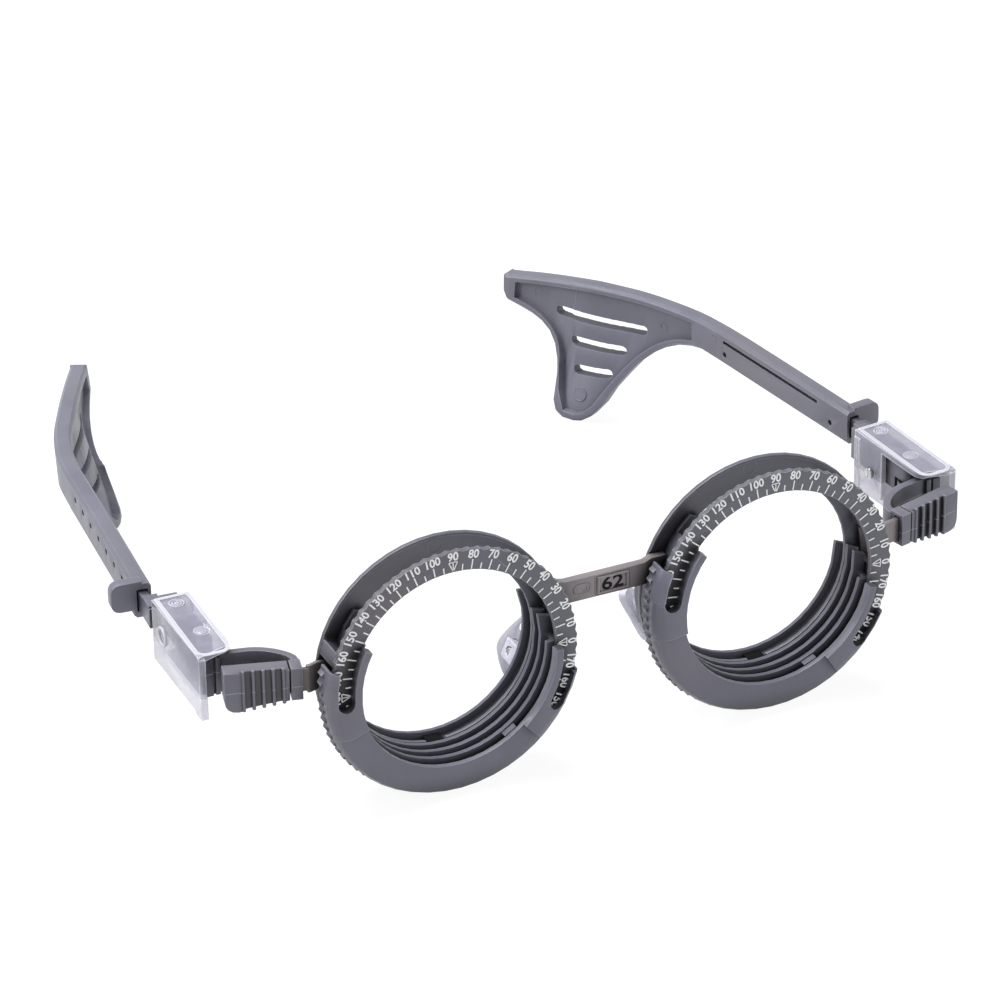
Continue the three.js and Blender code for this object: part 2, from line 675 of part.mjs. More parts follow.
function hingeHousing() {
  const plan = new THREE.Shape();
  plan.moveTo(housing.outer, -housing.front);
  plan.lineTo(housing.outer, housing.rear);
  plan.lineTo(-housing.inner, housing.rear);
  plan.lineTo(-housing.inner, -housing.front + housing.frontSlant + housing.cornerRadius);
  plan.quadraticCurveTo(-housing.inner, -housing.front + housing.frontSlant,
    -housing.inner + housing.cornerRadius, -housing.front + housing.frontSlant);
  const lid = standing(plan, housing.top - housing.plate, housing.top, small * half);
  const wallInside = housing.outer - housing.wall;
  const inside = -housing.inner + housing.innerWall;
  const floorTop = -housing.bottom + housing.innerWall;
  const overlap = housing.plate * half;
  const outerWall = box(wallInside, housing.outer, -housing.front, housing.rear, -housing.bottom,
    housing.top - overlap);
  const innerWall = box(-housing.inner, inside, housing.innerWallFront, housing.rear, -housing.bottom,
    housing.top - overlap);
  const floor = box(-housing.inner, housing.outer - overlap, -pivot.eyeRadius, housing.rear,
    -housing.bottom, floorTop);
  const tabFront = -housing.front - housing.tabForward;
  const tab = box(wallInside, housing.outer, tabFront, tabFront + housing.tabDepth,
    -housing.bottom - housing.tabDrop, -housing.bottom - housing.tabDrop + housing.tabHeight);
  const ribs = [];
  for (let i = 0; i < housing.ribs; i += 1) {
    const y = housing.rear - housing.ribSize * (1 + 2 * i);
    ribs.push(box(-housing.inner - housing.ribSize, -housing.inner + housing.ribSize,
      y - housing.ribSize, y, -housing.bottom, housing.top - housing.plate));
  }
  const pinBore = upright(pivot.pinRadius + gap, -housing.bottom - overrun, housing.top + overrun);
  const screwBore = crosswise(screw.shankRadius + gap, -housing.inner - overrun, inside + overrun,
    screw.back, screw.z);
  return cut(joined([lid, outerWall, innerWall, floor, tab, ...ribs]), [pinBore, screwBore]);
}

function housingScrew() {
  const headBase = -housing.inner - gap;
  const head = crosswise(screw.headRadius, headBase - screw.headHeight, headBase, screw.back, screw.z,
    2 * small);
  const shank = crosswise(screw.shankRadius, headBase - screw.headHeight * half, 0, screw.back, screw.z);
  const slot = box(headBase - screw.headHeight - overrun, headBase - screw.headHeight * half,
    screw.back - screw.slot * half, screw.back + screw.slot * half,
    screw.z - screw.headRadius, screw.z + screw.headRadius);
  return cut(joined([head, shank]), [slot]);
}

// Temple rod: the block round the pin inside the housing, and the flat rod that the sleeve slides on

const rodEnd = sleeve.start + rodInside;
const rodBottom = rod.centreZ - rod.height * half;
const rodTop = rod.centreZ + rod.height * half;

function templeRod() {
  const lean = Math.tan(radians(rodKink));
  const middle = (y) => y * lean;
  const [w, wr] = [bar.width * half, bar.rearWidth * half];
  const eyeBottom = pivot.tongueTop + gap;
  const clearBehind = pivot.eyeRadius + gap;
  const plan = polygon([
    [middle(0) - w, 0],
    [middle(0) + w, 0],
    [middle(housing.innerWallFront) + w, housing.innerWallFront],
    [middle(bar.rear) + wr, bar.rear],
    [middle(bar.rear) - wr, bar.rear],
    [middle(housing.innerWallFront) - wr, housing.innerWallFront],
  ]);
  const upper = standing(plan, eyeBottom, bar.top);
  const round = upright(w, eyeBottom, bar.top);
  const lowerPlan = polygon([
    [middle(clearBehind) - wr, clearBehind],
    [middle(clearBehind) + wr, clearBehind],
    [middle(bar.rear) + wr, bar.rear],
    [middle(bar.rear) - wr, bar.rear],
  ]);
  const lower = standing(lowerPlan, -bar.bottom, eyeBottom + gap);
  const rodMiddle = rod.outward;
  const [rodInner, rodOuter] = [rodMiddle - rod.thickness * half, rodMiddle + rod.thickness * half];
  const flangeHalf = flange.thickness * half;
  const web = box(rodInner, rodOuter, bar.rear - overrun, rodEnd, rodBottom, rodTop);
  const bridgeToRod = box(middle(bar.rear) - wr, rodOuter, bar.rear - rod.thickness, bar.rear,
    rodBottom, rodTop);
  const flangeTop = box(rodOuter - flange.width, rodOuter, bar.rear - overrun, bar.rear + flange.length,
    rodTop - flangeHalf, rodTop + flangeHalf);
  const bore = upright(pivot.pinRadius + gap, -housing.bottom, housing.top);
  const screwRoom = middle(screw.back) + bar.rearWidth * screw.biteShare;
  const screwHole = crosswise(screw.shankRadius + gap, -housing.outer, screwRoom, screw.back, screw.z);
  const pocketFloor = rodOuter - detent.ballRadius * 2 - gap * half;
  const pocket = crosswise(detent.ballRadius + gap, pocketFloor, rodMiddle + rod.thickness,
    sleeve.start + ballAt, detent.z);
  return cut(joined([upper, round, lower, web, bridgeToRod, flangeTop]), [bore, screwHole, pocket]);
}

// Detent ball: sits in the rod's pocket behind the sleeve's last hole
function detentBall() {
  return new THREE.SphereGeometry(detent.ballRadius, small, small * half).translate(
    rod.outward + rod.thickness * half - detent.ballRadius,
    sleeve.start + ballAt,
    detent.z,
  );
}

// Temple sleeve: hollow bar, thumb tab and ear paddle in one piece. Its edges are shares of the
// sleeve's length, counted from its zero mark just behind the tab, and of the paddle's drop.

const topEdgeShares = [
  [-0.026, 0.158], [0.2, 0.163], [0.378, 0.163], [0.447, 0.152], [0.511, 0.142], [0.568, 0.13],
  [0.673, 0.118], [0.723, 0.106], [0.774, 0.092], [0.826, 0.065], [0.878, 0.037], [0.941, -0.004],
  [0.981, -0.037], [1, -0.045],
];
const underEdgeShares = [
  [-0.026, -0.112], [0.405, -0.108], [0.474, -0.106], [0.506, -0.126], [0.543, -0.167], [0.578, -0.232],
  [0.61, -0.313], [0.645, -0.435], [0.672, -0.569], [0.696, -0.703], [0.712, -0.829], [0.733, -0.935],
  [0.753, -0.984], [0.772, -1], [0.8, -1], [0.819, -0.972], [0.829, -0.911], [0.832, -0.821],
  [0.835, -0.711], [0.841, -0.61], [0.853, -0.496], [0.871, -0.407], [0.897, -0.341], [0.923, -0.305],
  [0.959, -0.276], [0.989, -0.256], [0.998, -0.199], [1, -0.07],
];
const slotShares = [
  [[0.632, -0.167], [0.867, -0.22]],
  [[0.678, -0.378], [0.815, -0.402]],
  [[0.704, -0.589], [0.796, -0.614]],
];

// Height of an edge at a place along the sleeve
function heightOn(shares, s) {
  const share = s / sleeve.length;
  const next = shares.findIndex(([at]) => at >= share);
  if (next === 0) {
    return shares[0][1] * drop;
  }
  if (next < 0) {
    return shares[shares.length - 1][1] * drop;
  }
  const [[s0, z0], [s1, z1]] = [shares[next - 1], shares[next]];
  return (z0 + ((z1 - z0) * (share - s0)) / (s1 - s0)) * drop;
}

// Where a point of the flat temple lies once it is bent inward and curled in under the ear.
// s runs along the sleeve, out is measured outward from its middle.
function bent(s, out, z) {
  const full = radians(sleeveBend.angle);
  const past = Math.max(0, s - hollowRear);
  const turned = Math.min(past / sleeveBend.radius, full);
  const straight = Math.max(0, past - full * sleeveBend.radius);
  const inward = sleeveBend.radius * (1 - Math.cos(turned)) + straight * Math.sin(turned);
  const ahead = Math.min(s, hollowRear);
  const along = ahead + sleeveBend.radius * Math.sin(turned) + straight * Math.cos(turned);
  const top = topEdgeShares[0][1] * drop;
  const curl = ((top - z) ** 2 * half) / sleeveBend.curlRadius;
  const lateral = out - curl * THREE.MathUtils.smoothstep(turned, 0, full);
  return new THREE.Vector3(
    rod.outward - inward + lateral * Math.cos(turned),
    sleeve.start + along + lateral * Math.sin(turned),
    z,
  );
}

// The places along the sleeve where its section is drawn
function stations(shares, from, to, longest) {
  const places = [from, to, ...shares.map(([share]) => share * sleeve.length)];
  const sorted = [...new Set(places.filter((s) => s >= from && s <= to))].sort((a, b) => a - b);
  const filled = [sorted[0]];
  for (let i = 1; i < sorted.length; i += 1) {
    const pieces = Math.max(1, Math.ceil((sorted[i] - sorted[i - 1]) / longest));
    for (let k = 1; k <= pieces; k += 1) {
      filled.push(sorted[i - 1] + ((sorted[i] - sorted[i - 1]) * k) / pieces);
    }
  }
  return filled;
}

const chamferLimitShare = 0.3; // of the height, where the sleeve runs thin

function sleeveSection(s, width, low, high, chamfer) {
  const c = Math.min(chamfer, (high - low) * chamferLimitShare);
  const w = width * half;
  return [
    bent(s, w, low + c), bent(s, w, high - c), bent(s, w - c, high), bent(s, c - w, high),
    bent(s, -w, high - c), bent(s, -w, low + c), bent(s, c - w, low), bent(s, w - c, low),
  ];
}

const octagon = [[1, -0.5], [1, 0.5], [0.5, 1], [-0.5, 1], [-1, 0.5], [-1, -0.5], [-0.5, -1], [0.5, -1]];

function templeSleeve() {
  const start = -sleeve.lead;
  const places = stations(underEdgeShares, start, sleeve.length, sleeve.width * 2);
  const rings = places.map((s) => (
    sleeveSection(s, sleeve.width, heightOn(underEdgeShares, s), heightOn(topEdgeShares, s), sleeve.chamfer)
  ));
  const body = loft(rings, octagon);
  const room = { low: rodBottom - gap, high: rodTop + gap };
  const y0 = sleeve.start + start;
  const x = rod.outward;
  const halfRoom = rod.thickness * half + gap;
  const hollowEnd = sleeve.start + hollowRear;
  const hollow = box(x - halfRoom, x + halfRoom, y0 - overrun, hollowEnd, room.low, room.high);
  const holes = [];
  for (let i = 0; i < detent.count; i += 1) {
    const y = sleeve.start + detent.first + i * detent.pitch;
    holes.push(crosswise(detent.holeRadius, x, x + sleeve.width, y, detent.z));
  }
  for (const s of [pinHole.from, pinHole.to]) {
    holes.push(crosswise(pinHole.radius, x - sleeve.width, x, sleeve.start + s, pinHole.z));
  }
  const longSlit = box(x - sleeve.width, x, sleeve.start + slit.from, sleeve.start + slit.to,
    room.high - slit.height - gap, room.high - gap);
  const tabOuter = x + sleeve.width * half + thumbTab.reach;
  const tabShape = roundedRect(x, tabOuter, -thumbTab.bottom, thumbTab.top, thumbTab.cornerRadius);
  const tab = facing(tabShape, y0, y0 + thumbTab.thickness);
  return cut(joined([body, tab]), [hollow, ...holes, longSlit, ...slotCutters(), recessCutter()]);
}

function roundedRect(x0, x1, z0, z1, radius) {
  const shape = new THREE.Shape();
  shape.moveTo(x0, z0);
  shape.lineTo(x1 - radius, z0);
  shape.quadraticCurveTo(x1, z0, x1, z0 + radius);
  shape.lineTo(x1, z1 - radius);
  shape.quadraticCurveTo(x1, z1, x1 - radius, z1);
  shape.lineTo(x0, z1);
  return shape;
}

// The three round-ended slots of the paddle
function slotCutters() {
  return slotShares.map(([[s0, z0], [s1, z1]]) => {
    const from = new THREE.Vector2(s0 * sleeve.length, z0 * drop);
    const to = new THREE.Vector2(s1 * sleeve.length, z1 * drop);
    const angle = Math.atan2(to.y - from.y, to.x - from.x);
    const outline = [];
    const endSteps = small * half;
    for (const [centre, turn] of [[to, -half], [from, half]]) {
      for (let i = 0; i <= endSteps; i += 1) {
        const at = angle + Math.PI * (turn + i / endSteps);
        const radius = paddleSlot.height * half;
        const end = turn < 0 ? centre.clone().addScaledVector(to.clone().sub(from).normalize(), -radius)
          : centre.clone().addScaledVector(to.clone().sub(from).normalize(), radius);
        outline.push([end.x + radius * Math.cos(at), end.y + radius * Math.sin(at)]);
      }
    }
    const reach = sleeve.width;
    const rings = [-reach, reach].map((out) => outline.map(([s, z]) => bent(s, out, z)));
    return loft(rings, outline);
  });
}

// The paddle's inner face is sunk inside a narrow rim. The floor's edge keeps the rim's width from
// the paddle's edge on every side.
function recessCutter() {
  const rim = paddleRecess.rim;
  const rimSteps = small * half;
  const inset = (shares, s, sign) => {
    let height = sign * heightOn(shares, s) + rim;
    for (let i = -rimSteps; i <= rimSteps; i += 1) {
      const away = (rim * i) / rimSteps;
      height = Math.max(height, sign * heightOn(shares, s + away) + Math.sqrt(rim * rim - away * away));
    }
    return sign * height;
  };
  const [from, to] = [recessShares.from * sleeve.length, recessShares.to * sleeve.length];
  const places = stations(underEdgeShares, from, to, sleeve.width);
  const inner = -sleeve.width * half;
  const rings = places.map((s) => {
    const low = inset(underEdgeShares, s, 1);
    const high = inset(topEdgeShares, s, -1);
    const depth = inner + paddleRecess.depth;
    return [
      bent(s, inner - overrun, low),
      bent(s, inner - overrun, high),
      bent(s, depth, high),
      bent(s, depth, low),
    ];
  });
  return loft(rings, [[-1, -1], [-1, 1], [1, 1], [1, -1]]);
}

// Nose pad: a clear plate beside the nose. It is drawn flat, with X across, Z up along its nasal edge
// and Y as its thickness, and padFrame sets it in place behind the ring.

function padFrame() {
  const down = new THREE.Vector3(padPlace.run, 0, -padPlace.fall).normalize();
  const across = new THREE.Vector3(Math.cos(radians(pad.turn)), Math.sin(radians(pad.turn)), 0);
  const up = down.clone().negate();
  const flat = across.clone().addScaledVector(up, -across.dot(up)).normalize();
  const back = up.clone().cross(flat);
  const corner = new THREE.Vector3(padPlace.nasal, padPlace.back, padPlace.top);
  return new THREE.Matrix4().makeBasis(flat, back, up).setPosition(corner);
}

const slotDown = -padSlot.down;

// The pad's outline as shares of its width and height, from its nasal edge outward and down
const padShares = [
  [0, -0.12], [0, -0.46], [0, -0.82], [0.1, -0.95], [0.3, -1], [0.56, -0.92], [0.85, -0.76], [0.98, -0.66],
  [1, -0.56], [0.93, -0.44], [0.66, -0.16], [0.46, -0.04], [0.25, 0], [0.07, -0.03],
];

function nosePad() {
  const corners = padShares.map(([u, v]) => new THREE.Vector3(u * pad.width, v * pad.height, 0));
  const smooth = new THREE.CatmullRomCurve3(corners, true).getPoints(medium).slice(1);
  const plateBody = facing(polygon(smooth.map((point) => [point.x, point.y])), 0, pad.thickness);
  const slotShape = stadium(padSlot.across, slotDown, padSlot.width, padSlot.width + 2 * pad.travel);
  const holeShape = stadium(padHole.across, -padHole.down, padHole.width, padHole.height);
  return cut(plateBody, [
    facing(slotShape, -overrun, pad.thickness + overrun, small * half),
    facing(holeShape, -overrun, pad.thickness + overrun, small * half),
  ]);
}

// An upright outline with round ends
function stadium(x, z, width, height) {
  const shape = new THREE.Shape();
  const radius = width * half;
  const straight = height * half - radius;
  shape.absarc(x, z + straight, radius, 0, Math.PI);
  shape.absarc(x, z - straight, radius, Math.PI, 2 * Math.PI);
  return shape;
}

function padArmBlock(frame) {
  const [w, h] = [padArm.width * half, padArm.height * half];
  const corners = [[-w, -h], [w, -h], [w, h], [-w, h]];
  const rearQuad = corners.map(([x, z]) => (
    new THREE.Vector3(padSlot.across + x, -gap, slotDown + z).applyMatrix4(frame)
  ));
  const leafBack = plate.thickness + rearLeaf.slot + rearLeaf.thickness;
  const frontQuad = rearQuad.map((point) => new THREE.Vector3(point.x, leafBack + gap, point.z));
  const block = loft([frontQuad, rearQuad], corners);
  const bore = upright(padScrew.shankRadius + gap, -gap - padScrew.depth - gap, overrun, small)
    .rotateX(-Math.PI * half);
  bore.translate(padSlot.across, 0, slotDown).applyMatrix4(frame);
  return cut(block, [bore]);
}

function padScrewBody() {
  const back = pad.thickness + gap;
  const { shankRadius, headRadius, headHeight, depth } = padScrew;
  const shank = upright(shankRadius, -gap - depth, back + headHeight * half, small);
  const head = upright(headRadius, back, back + headHeight);
  for (const geometry of [shank, head]) {
    geometry.rotateX(-Math.PI * half);
  }
  const slot = box(-padScrew.headRadius, padScrew.headRadius, back + padScrew.headHeight * half,
    back + padScrew.headHeight + overrun, -screw.slot * half, screw.slot * half);
  return cut(joined([shank, head]), [slot]).translate(padSlot.across, 0, slotDown);
}

// Assembly

function mirrored(geometry, sign) {
  const tidy = welded(geometry);
  return sign < 0 ? flipped(tidy.scale(-1, 1, 1)) : tidy;
}

function piece(name, geometry, material) {
  const mesh = new THREE.Mesh(geometry, material);
  geometry.computeVertexNormals();
  mesh.name = name;
  return mesh;
}

function sideOf(side) {
  const { name, sign } = side;
  const whole = new THREE.Group();
  const add = (parent, label, geometry, material) => (
    parent.add(piece(`${name}_${label}`, mirrored(geometry, sign), material))
  );

  const ringGroup = new THREE.Group();
  ringGroup.position.x = sign * pupilDistance * half;
  add(ringGroup, "back_plate", backPlate(), grey);
  add(ringGroup, "rear_leaf", rearLeafRing(), grey);
  add(ringGroup, "lens_spring", lensSpring(), black);
  add(ringGroup, "dial", dialRing(), darkGrey);
  const cell = new THREE.Group();
  cell.rotation.y = -radians(side.cellMiddle);
  cell.add(piece(`${name}_cell_cap`, welded(turningCap()), grey));
  cell.add(piece(`${name}_cell_leaves`, welded(turningCell()), grey));
  ringGroup.add(cell);
  add(whole, "end_strip", endStrip(), warmGrey);

  const clipGroup = new THREE.Group();
  const tilt = radians(stripBend.angle);
  clipGroup.position.set(
    sign * (bendPoint.x + side.clipOut * Math.cos(tilt)),
    bendPoint.y + side.clipOut * Math.sin(tilt),
    bendPoint.z,
  );
  clipGroup.rotation.z = sign * tilt;
  add(clipGroup, "clip_arch", clipArch(), grey);
  add(clipGroup, "clip_lever", clipLever(), grey);

  const hinge = new THREE.Group();
  hinge.position.set(sign * pivotInClip[0], pivotInClip[1], -bendPoint.z);
  hinge.rotation.z = -sign * tilt;
  const housingGroup = new THREE.Group();
  housingGroup.rotation.z = sign * radians(side.housingYaw);
  add(housingGroup, "hinge_pin", hingePin(), steel);
  add(housingGroup, "hinge_housing", hingeHousing(), clear);
  add(housingGroup, "housing_screw", housingScrew(), steel);
  const rodGroup = new THREE.Group();
  rodGroup.rotation.z = sign * radians(side.rodYaw);
  add(rodGroup, "temple_rod", templeRod(), grey);
  add(rodGroup, "detent_ball", detentBall(), steel);
  add(rodGroup, "temple_sleeve", templeSleeve(), grey);
  hinge.add(housingGroup, rodGroup);
  clipGroup.add(hinge);

  const frame = padFrame();
  add(whole, "pad_arm", padArmBlock(frame), grey);
  add(whole, "nose_pad", nosePad().applyMatrix4(frame), clear);
  add(whole, "pad_screw", padScrewBody().applyMatrix4(frame), steel);
  whole.add(ringGroup, clipGroup);
  return whole;
}

const frameGroup = new THREE.Group();
frameGroup.add(piece("bridge_strip", welded(bridgeStrip()), warmGrey), sideOf(leftSide), sideOf(rightSide));

// The origin is the middle of the part's box, at its lowest point
const trialFrame = new THREE.Group();
trialFrame.add(frameGroup);
trialFrame.updateMatrixWorld(true);
const extent = new THREE.Box3().setFromObject(trialFrame, true);
const middle = extent.getCenter(new THREE.Vector3());
frameGroup.position.set(-middle.x, -middle.y, -extent.min.z);
trialFrame.updateMatrixWorld(true);

export default trialFrame;
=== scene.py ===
import json
import math

import bmesh
import bpy
from mathutils import Matrix, Vector
from mathutils.bvhtree import BVHTree

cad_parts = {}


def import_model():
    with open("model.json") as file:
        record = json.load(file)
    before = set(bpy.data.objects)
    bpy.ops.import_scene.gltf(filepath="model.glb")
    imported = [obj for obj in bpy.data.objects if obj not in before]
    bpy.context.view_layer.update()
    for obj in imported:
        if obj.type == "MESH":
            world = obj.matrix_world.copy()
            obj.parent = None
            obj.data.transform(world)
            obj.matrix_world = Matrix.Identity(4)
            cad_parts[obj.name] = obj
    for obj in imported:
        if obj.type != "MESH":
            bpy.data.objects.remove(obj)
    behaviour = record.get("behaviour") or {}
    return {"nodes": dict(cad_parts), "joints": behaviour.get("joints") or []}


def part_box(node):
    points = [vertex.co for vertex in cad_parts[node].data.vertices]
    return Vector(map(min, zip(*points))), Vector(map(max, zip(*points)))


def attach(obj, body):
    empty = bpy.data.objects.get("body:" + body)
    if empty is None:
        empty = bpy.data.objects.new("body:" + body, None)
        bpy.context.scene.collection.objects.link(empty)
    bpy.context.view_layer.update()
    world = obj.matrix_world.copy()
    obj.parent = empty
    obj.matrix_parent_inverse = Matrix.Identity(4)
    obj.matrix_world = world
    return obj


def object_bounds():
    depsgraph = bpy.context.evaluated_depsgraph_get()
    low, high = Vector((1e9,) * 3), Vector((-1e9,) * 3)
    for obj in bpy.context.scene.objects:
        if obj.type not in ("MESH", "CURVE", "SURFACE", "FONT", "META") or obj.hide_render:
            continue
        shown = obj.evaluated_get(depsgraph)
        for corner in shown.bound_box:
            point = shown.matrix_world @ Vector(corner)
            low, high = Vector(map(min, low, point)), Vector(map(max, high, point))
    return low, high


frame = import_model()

# Optical trial frame: looks, prints and mould marks over the CAD model. Lengths are in
# millimetres and become metres through MM. Places are counted from the point midway between
# the two ring centres, at the front face of the back plates: X right, Y rearward, Z up.

MM = 0.001
IMAGE = 1000  # pixels, both ways
SIDES = {"left": -1, "right": 1}

cad_box = [list(corner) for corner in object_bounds()]

# Sizes read from the CAD nodes, and the few that the prints need

DIAL_BACK = 6.3  # the dials' back face lies this far in front of the plates
dial_boxes = {side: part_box(f"{side}_dial") for side in SIDES}
dial_middles = {side: (low + high) / 2 for side, (low, high) in dial_boxes.items()}
origin = (dial_middles["left"] + dial_middles["right"]) / 2
origin.y = dial_boxes["left"][1].y + DIAL_BACK * MM


def at(x, y, z):
    """A place in millimetres from the rings' midpoint, as a point of the row frame in metres."""
    return origin + Vector((x, y, z)) * MM


# Camera: bearing and tilt of the view, its roll, how far off it stands and how far the
# rings' midpoint lies from the middle of the picture

VIEW = {
    "bearing": 0.4305343388,
    "tilt": 0.508009125,
    "roll": -0.0158219786,
    "distance": 895.71222,
    "focal_pixels": 5103.6156,
    "aside": 17.280853,
    "above": -19.308874,
}
SENSOR = 36
SEES_FROM, SEES_TO = 0.01, 20  # metres


def photo_camera():
    bearing, tilt, roll = VIEW["bearing"], VIEW["tilt"], VIEW["roll"]
    ahead = Vector((math.cos(tilt) * math.sin(bearing), math.cos(tilt) * math.cos(bearing),
                    -math.sin(tilt)))
    level = Vector((math.cos(bearing), -math.sin(bearing), 0))
    upward = level.cross(ahead)
    right = level * math.cos(roll) + upward * math.sin(roll)
    up = upward * math.cos(roll) - level * math.sin(roll)
    place = -(right * VIEW["aside"] + up * VIEW["above"] + ahead * VIEW["distance"])
    data = bpy.data.cameras.new("photo_camera")
    data.sensor_width = SENSOR
    data.lens = VIEW["focal_pixels"] / IMAGE * SENSOR
    data.clip_start = SEES_FROM
    data.clip_end = SEES_TO
    camera = bpy.data.objects.new("photo_camera", data)
    axes = Matrix((right, up, -ahead)).transposed().to_4x4()
    camera.matrix_world = Matrix.Translation(at(*place)) @ axes
    bpy.context.scene.collection.objects.link(camera)
    bpy.context.scene.camera = camera
    return camera, right, up, ahead


camera, camera_right, camera_up, camera_ahead = photo_camera()


# Materials

NODE_SAMPLES = 6
EDGE_FADE = 0.1  # share of an edge's reach where its mark begins


class Shader:
    """A node material being put together round one principled surface."""

    def __init__(self, name):
        self.material = bpy.data.materials.new(name)
        self.material.use_nodes = True
        self.tree = self.material.node_tree
        self.surface = self.tree.nodes["Principled BSDF"]
        self.place = self.add("ShaderNodeTexCoord").outputs["Object"]

    def add(self, kind, **settings):
        node = self.tree.nodes.new(kind)
        for key, value in settings.items():
            setattr(node, key, value)
        return node

    def feed(self, socket, value):
        """Links value, if it is another node's output, or else sets it on the socket."""
        if isinstance(value, bpy.types.NodeSocket):
            self.tree.links.new(value, socket)
        else:
            socket.default_value = value

    def noise(self, size, detail=2.0, stretch=(1, 1, 1)):
        """Noise with features about size millimetres across, longer along the stretched axes."""
        mapping = self.add("ShaderNodeMapping")
        self.feed(mapping.inputs["Vector"], self.place)
        mapping.inputs["Scale"].default_value = [1 / (size * MM * s) for s in stretch]
        node = self.add("ShaderNodeTexNoise")
        self.feed(node.inputs["Vector"], mapping.outputs["Vector"])
        node.inputs["Scale"].default_value = 1
        node.inputs["Detail"].default_value = detail
        return node.outputs["Fac"]

    def span(self, source, low, high, to_low=0.0, to_high=1.0):
        node = self.add("ShaderNodeMapRange")
        self.feed(node.inputs["Value"], source)
        for key, value in (("From Min", low), ("From Max", high), ("To Min", to_low),
                           ("To Max", to_high)):
            node.inputs[key].default_value = value
        return node.outputs["Result"]

    def math(self, operation, a, b):
        node = self.add("ShaderNodeMath", operation=operation)
        self.feed(node.inputs[0], a)
        self.feed(node.inputs[1], b)
        return node.outputs[0]

    def mix(self, share, a, b):
        node = self.add("ShaderNodeMix", data_type="RGBA")
        self.feed(node.inputs[0], share)
        self.feed(node.inputs[6], a)
        self.feed(node.inputs[7], b)
        return node.outputs[2]

    def edges(self, radius, reach=0.06):
        """1 on the sharp edges of the solid, fading to 0 on its faces."""
        bevel = self.add("ShaderNodeBevel", samples=NODE_SAMPLES)
        bevel.inputs["Radius"].default_value = radius * MM
        plain = self.add("ShaderNodeNewGeometry").outputs["Normal"]
        dot = self.add("ShaderNodeVectorMath", operation="DOT_PRODUCT")
        self.feed(dot.inputs[0], bevel.outputs["Normal"])
        self.feed(dot.inputs[1], plain)
        return self.span(dot.outputs["Value"], 1 - reach * EDGE_FADE, 1 - reach)

    def recesses(self, reach, deepest, closed=0.25, open_sky=0.95):
        """Mask of painted shade: 1 on open faces, falling to deepest inside narrow gaps up to reach
        millimetres wide.
        """
        node = self.add("ShaderNodeAmbientOcclusion", samples=NODE_SAMPLES)
        node.inputs["Distance"].default_value = reach * MM
        return self.span(node.outputs["AO"], closed, open_sky, deepest, 1)

    def height(self):
        """Height of each place in the row frame, in metres."""
        split = self.add("ShaderNodeSeparateXYZ")
        self.feed(split.inputs[0], self.place)
        return split.outputs["Z"]

    def bump(self, *layers):
        """Adds each (height source, depth in millimetres) to the surface's normal."""
        normal = None
        for source, depth in layers:
            node = self.add("ShaderNodeBump")
            node.inputs["Strength"].default_value = 1
            node.inputs["Distance"].default_value = depth * MM
            self.feed(node.inputs["Height"], source)
            if normal is not None:
                self.feed(node.inputs["Normal"], normal)
            normal = node.outputs["Normal"]
        self.feed(self.surface.inputs["Normal"], normal)


def rgba(colour):
    return (*colour, 1.0)


def scaled(colour, factor):
    return tuple(c * factor for c in colour)


# Sizes and depths of the plastics' uneven patches, in millimetres, and the strength and reach of
# the painted shade in their hollows

# painted shade: how dark and how wide the ambient-occlusion darkening of hollows is
RECESS_SHADE = 0.12  # share of the colour left in the deepest recess
RECESS_REACH = 6
FLOW_SIZE = 9
FLOW_DEPTH = 0.05
SPECK_SIZE = 0.6
CAST_SIZE = 38
WARM_CAST = (1.08, 1.0, 0.93)  # brownish drift of the batch, as shares of the plain colour
SEAM = {"sharp": 0.05, "faded": 0.13, "depth": 0.04, "share": 0.55}
RIPPLE_SIZE = 3.5
RIPPLE_DEPTH = 0.03
UPPER_FADE = 0.25


def moulded(name, colour, edge_colour, rough=(0.33, 0.48), grain=0.22, depth=0.005, seam=None,
            edge_wear_and_highlight=0.22, shine=0.5, closed=0.32, shade=RECESS_SHADE):
    """Moulded plastic: fine matt grain, soft flow marks, painted shade that darkens hollows and
    gaps, paler edges that are partly wear and partly a painted highlight and, where seam is a
    height, the line where the two mould halves met."""
    shader = Shader(name)
    flow = shader.noise(FLOW_SIZE, 3, (1, 1, 2.5))
    fine = shader.noise(grain, 3)
    specks = shader.noise(SPECK_SIZE, 1)
    body = shader.mix(shader.span(flow, 0.35, 0.65), rgba(scaled(colour, 0.93)),
                      rgba(scaled(colour, 1.07)))
    cast = shader.noise(CAST_SIZE, 1)
    warm = tuple(c * share for c, share in zip(colour, WARM_CAST))
    body = shader.mix(shader.span(cast, 0.48, 0.68, 0, 0.7), body, rgba(warm))
    body = shader.mix(shader.span(specks, 0.62, 0.8, 0, 0.35), body, rgba(scaled(colour, 1.22)))
    # paler edges: partly wear and partly a painted highlight on the rounded edges
    edge = shader.math("MULTIPLY", shader.edges(edge_wear_and_highlight), shader.span(flow, 0.3, 0.7, 0.45, 0.85))
    body = shader.mix(edge, body, rgba(edge_colour))
    # painted shade: hollows and gaps darkened towards black by ambient occlusion
    body = shader.mix(shader.recesses(RECESS_REACH, shade, closed), rgba((0, 0, 0)), body)
    layers = [(fine, depth), (flow, FLOW_DEPTH)]
    if seam is not None:
        above = shader.math("SUBTRACT", shader.height(), origin.z + seam * MM)
        off = shader.math("ABSOLUTE", above, 0.0)
        line = shader.span(off, SEAM["sharp"] * MM, SEAM["faded"] * MM, 1, 0)
        body = shader.mix(shader.math("MULTIPLY", line, SEAM["share"]), body, rgba(edge_colour))
        layers.append((line, SEAM["depth"]))
    shader.feed(shader.surface.inputs["Base Color"], body)
    shader.feed(shader.surface.inputs["Roughness"],
                shader.span(shader.math("ADD", fine, flow), 0.7, 1.3, *rough))
    shader.surface.inputs["Specular IOR Level"].default_value = shine
    shader.bump(*layers)
    return shader.material


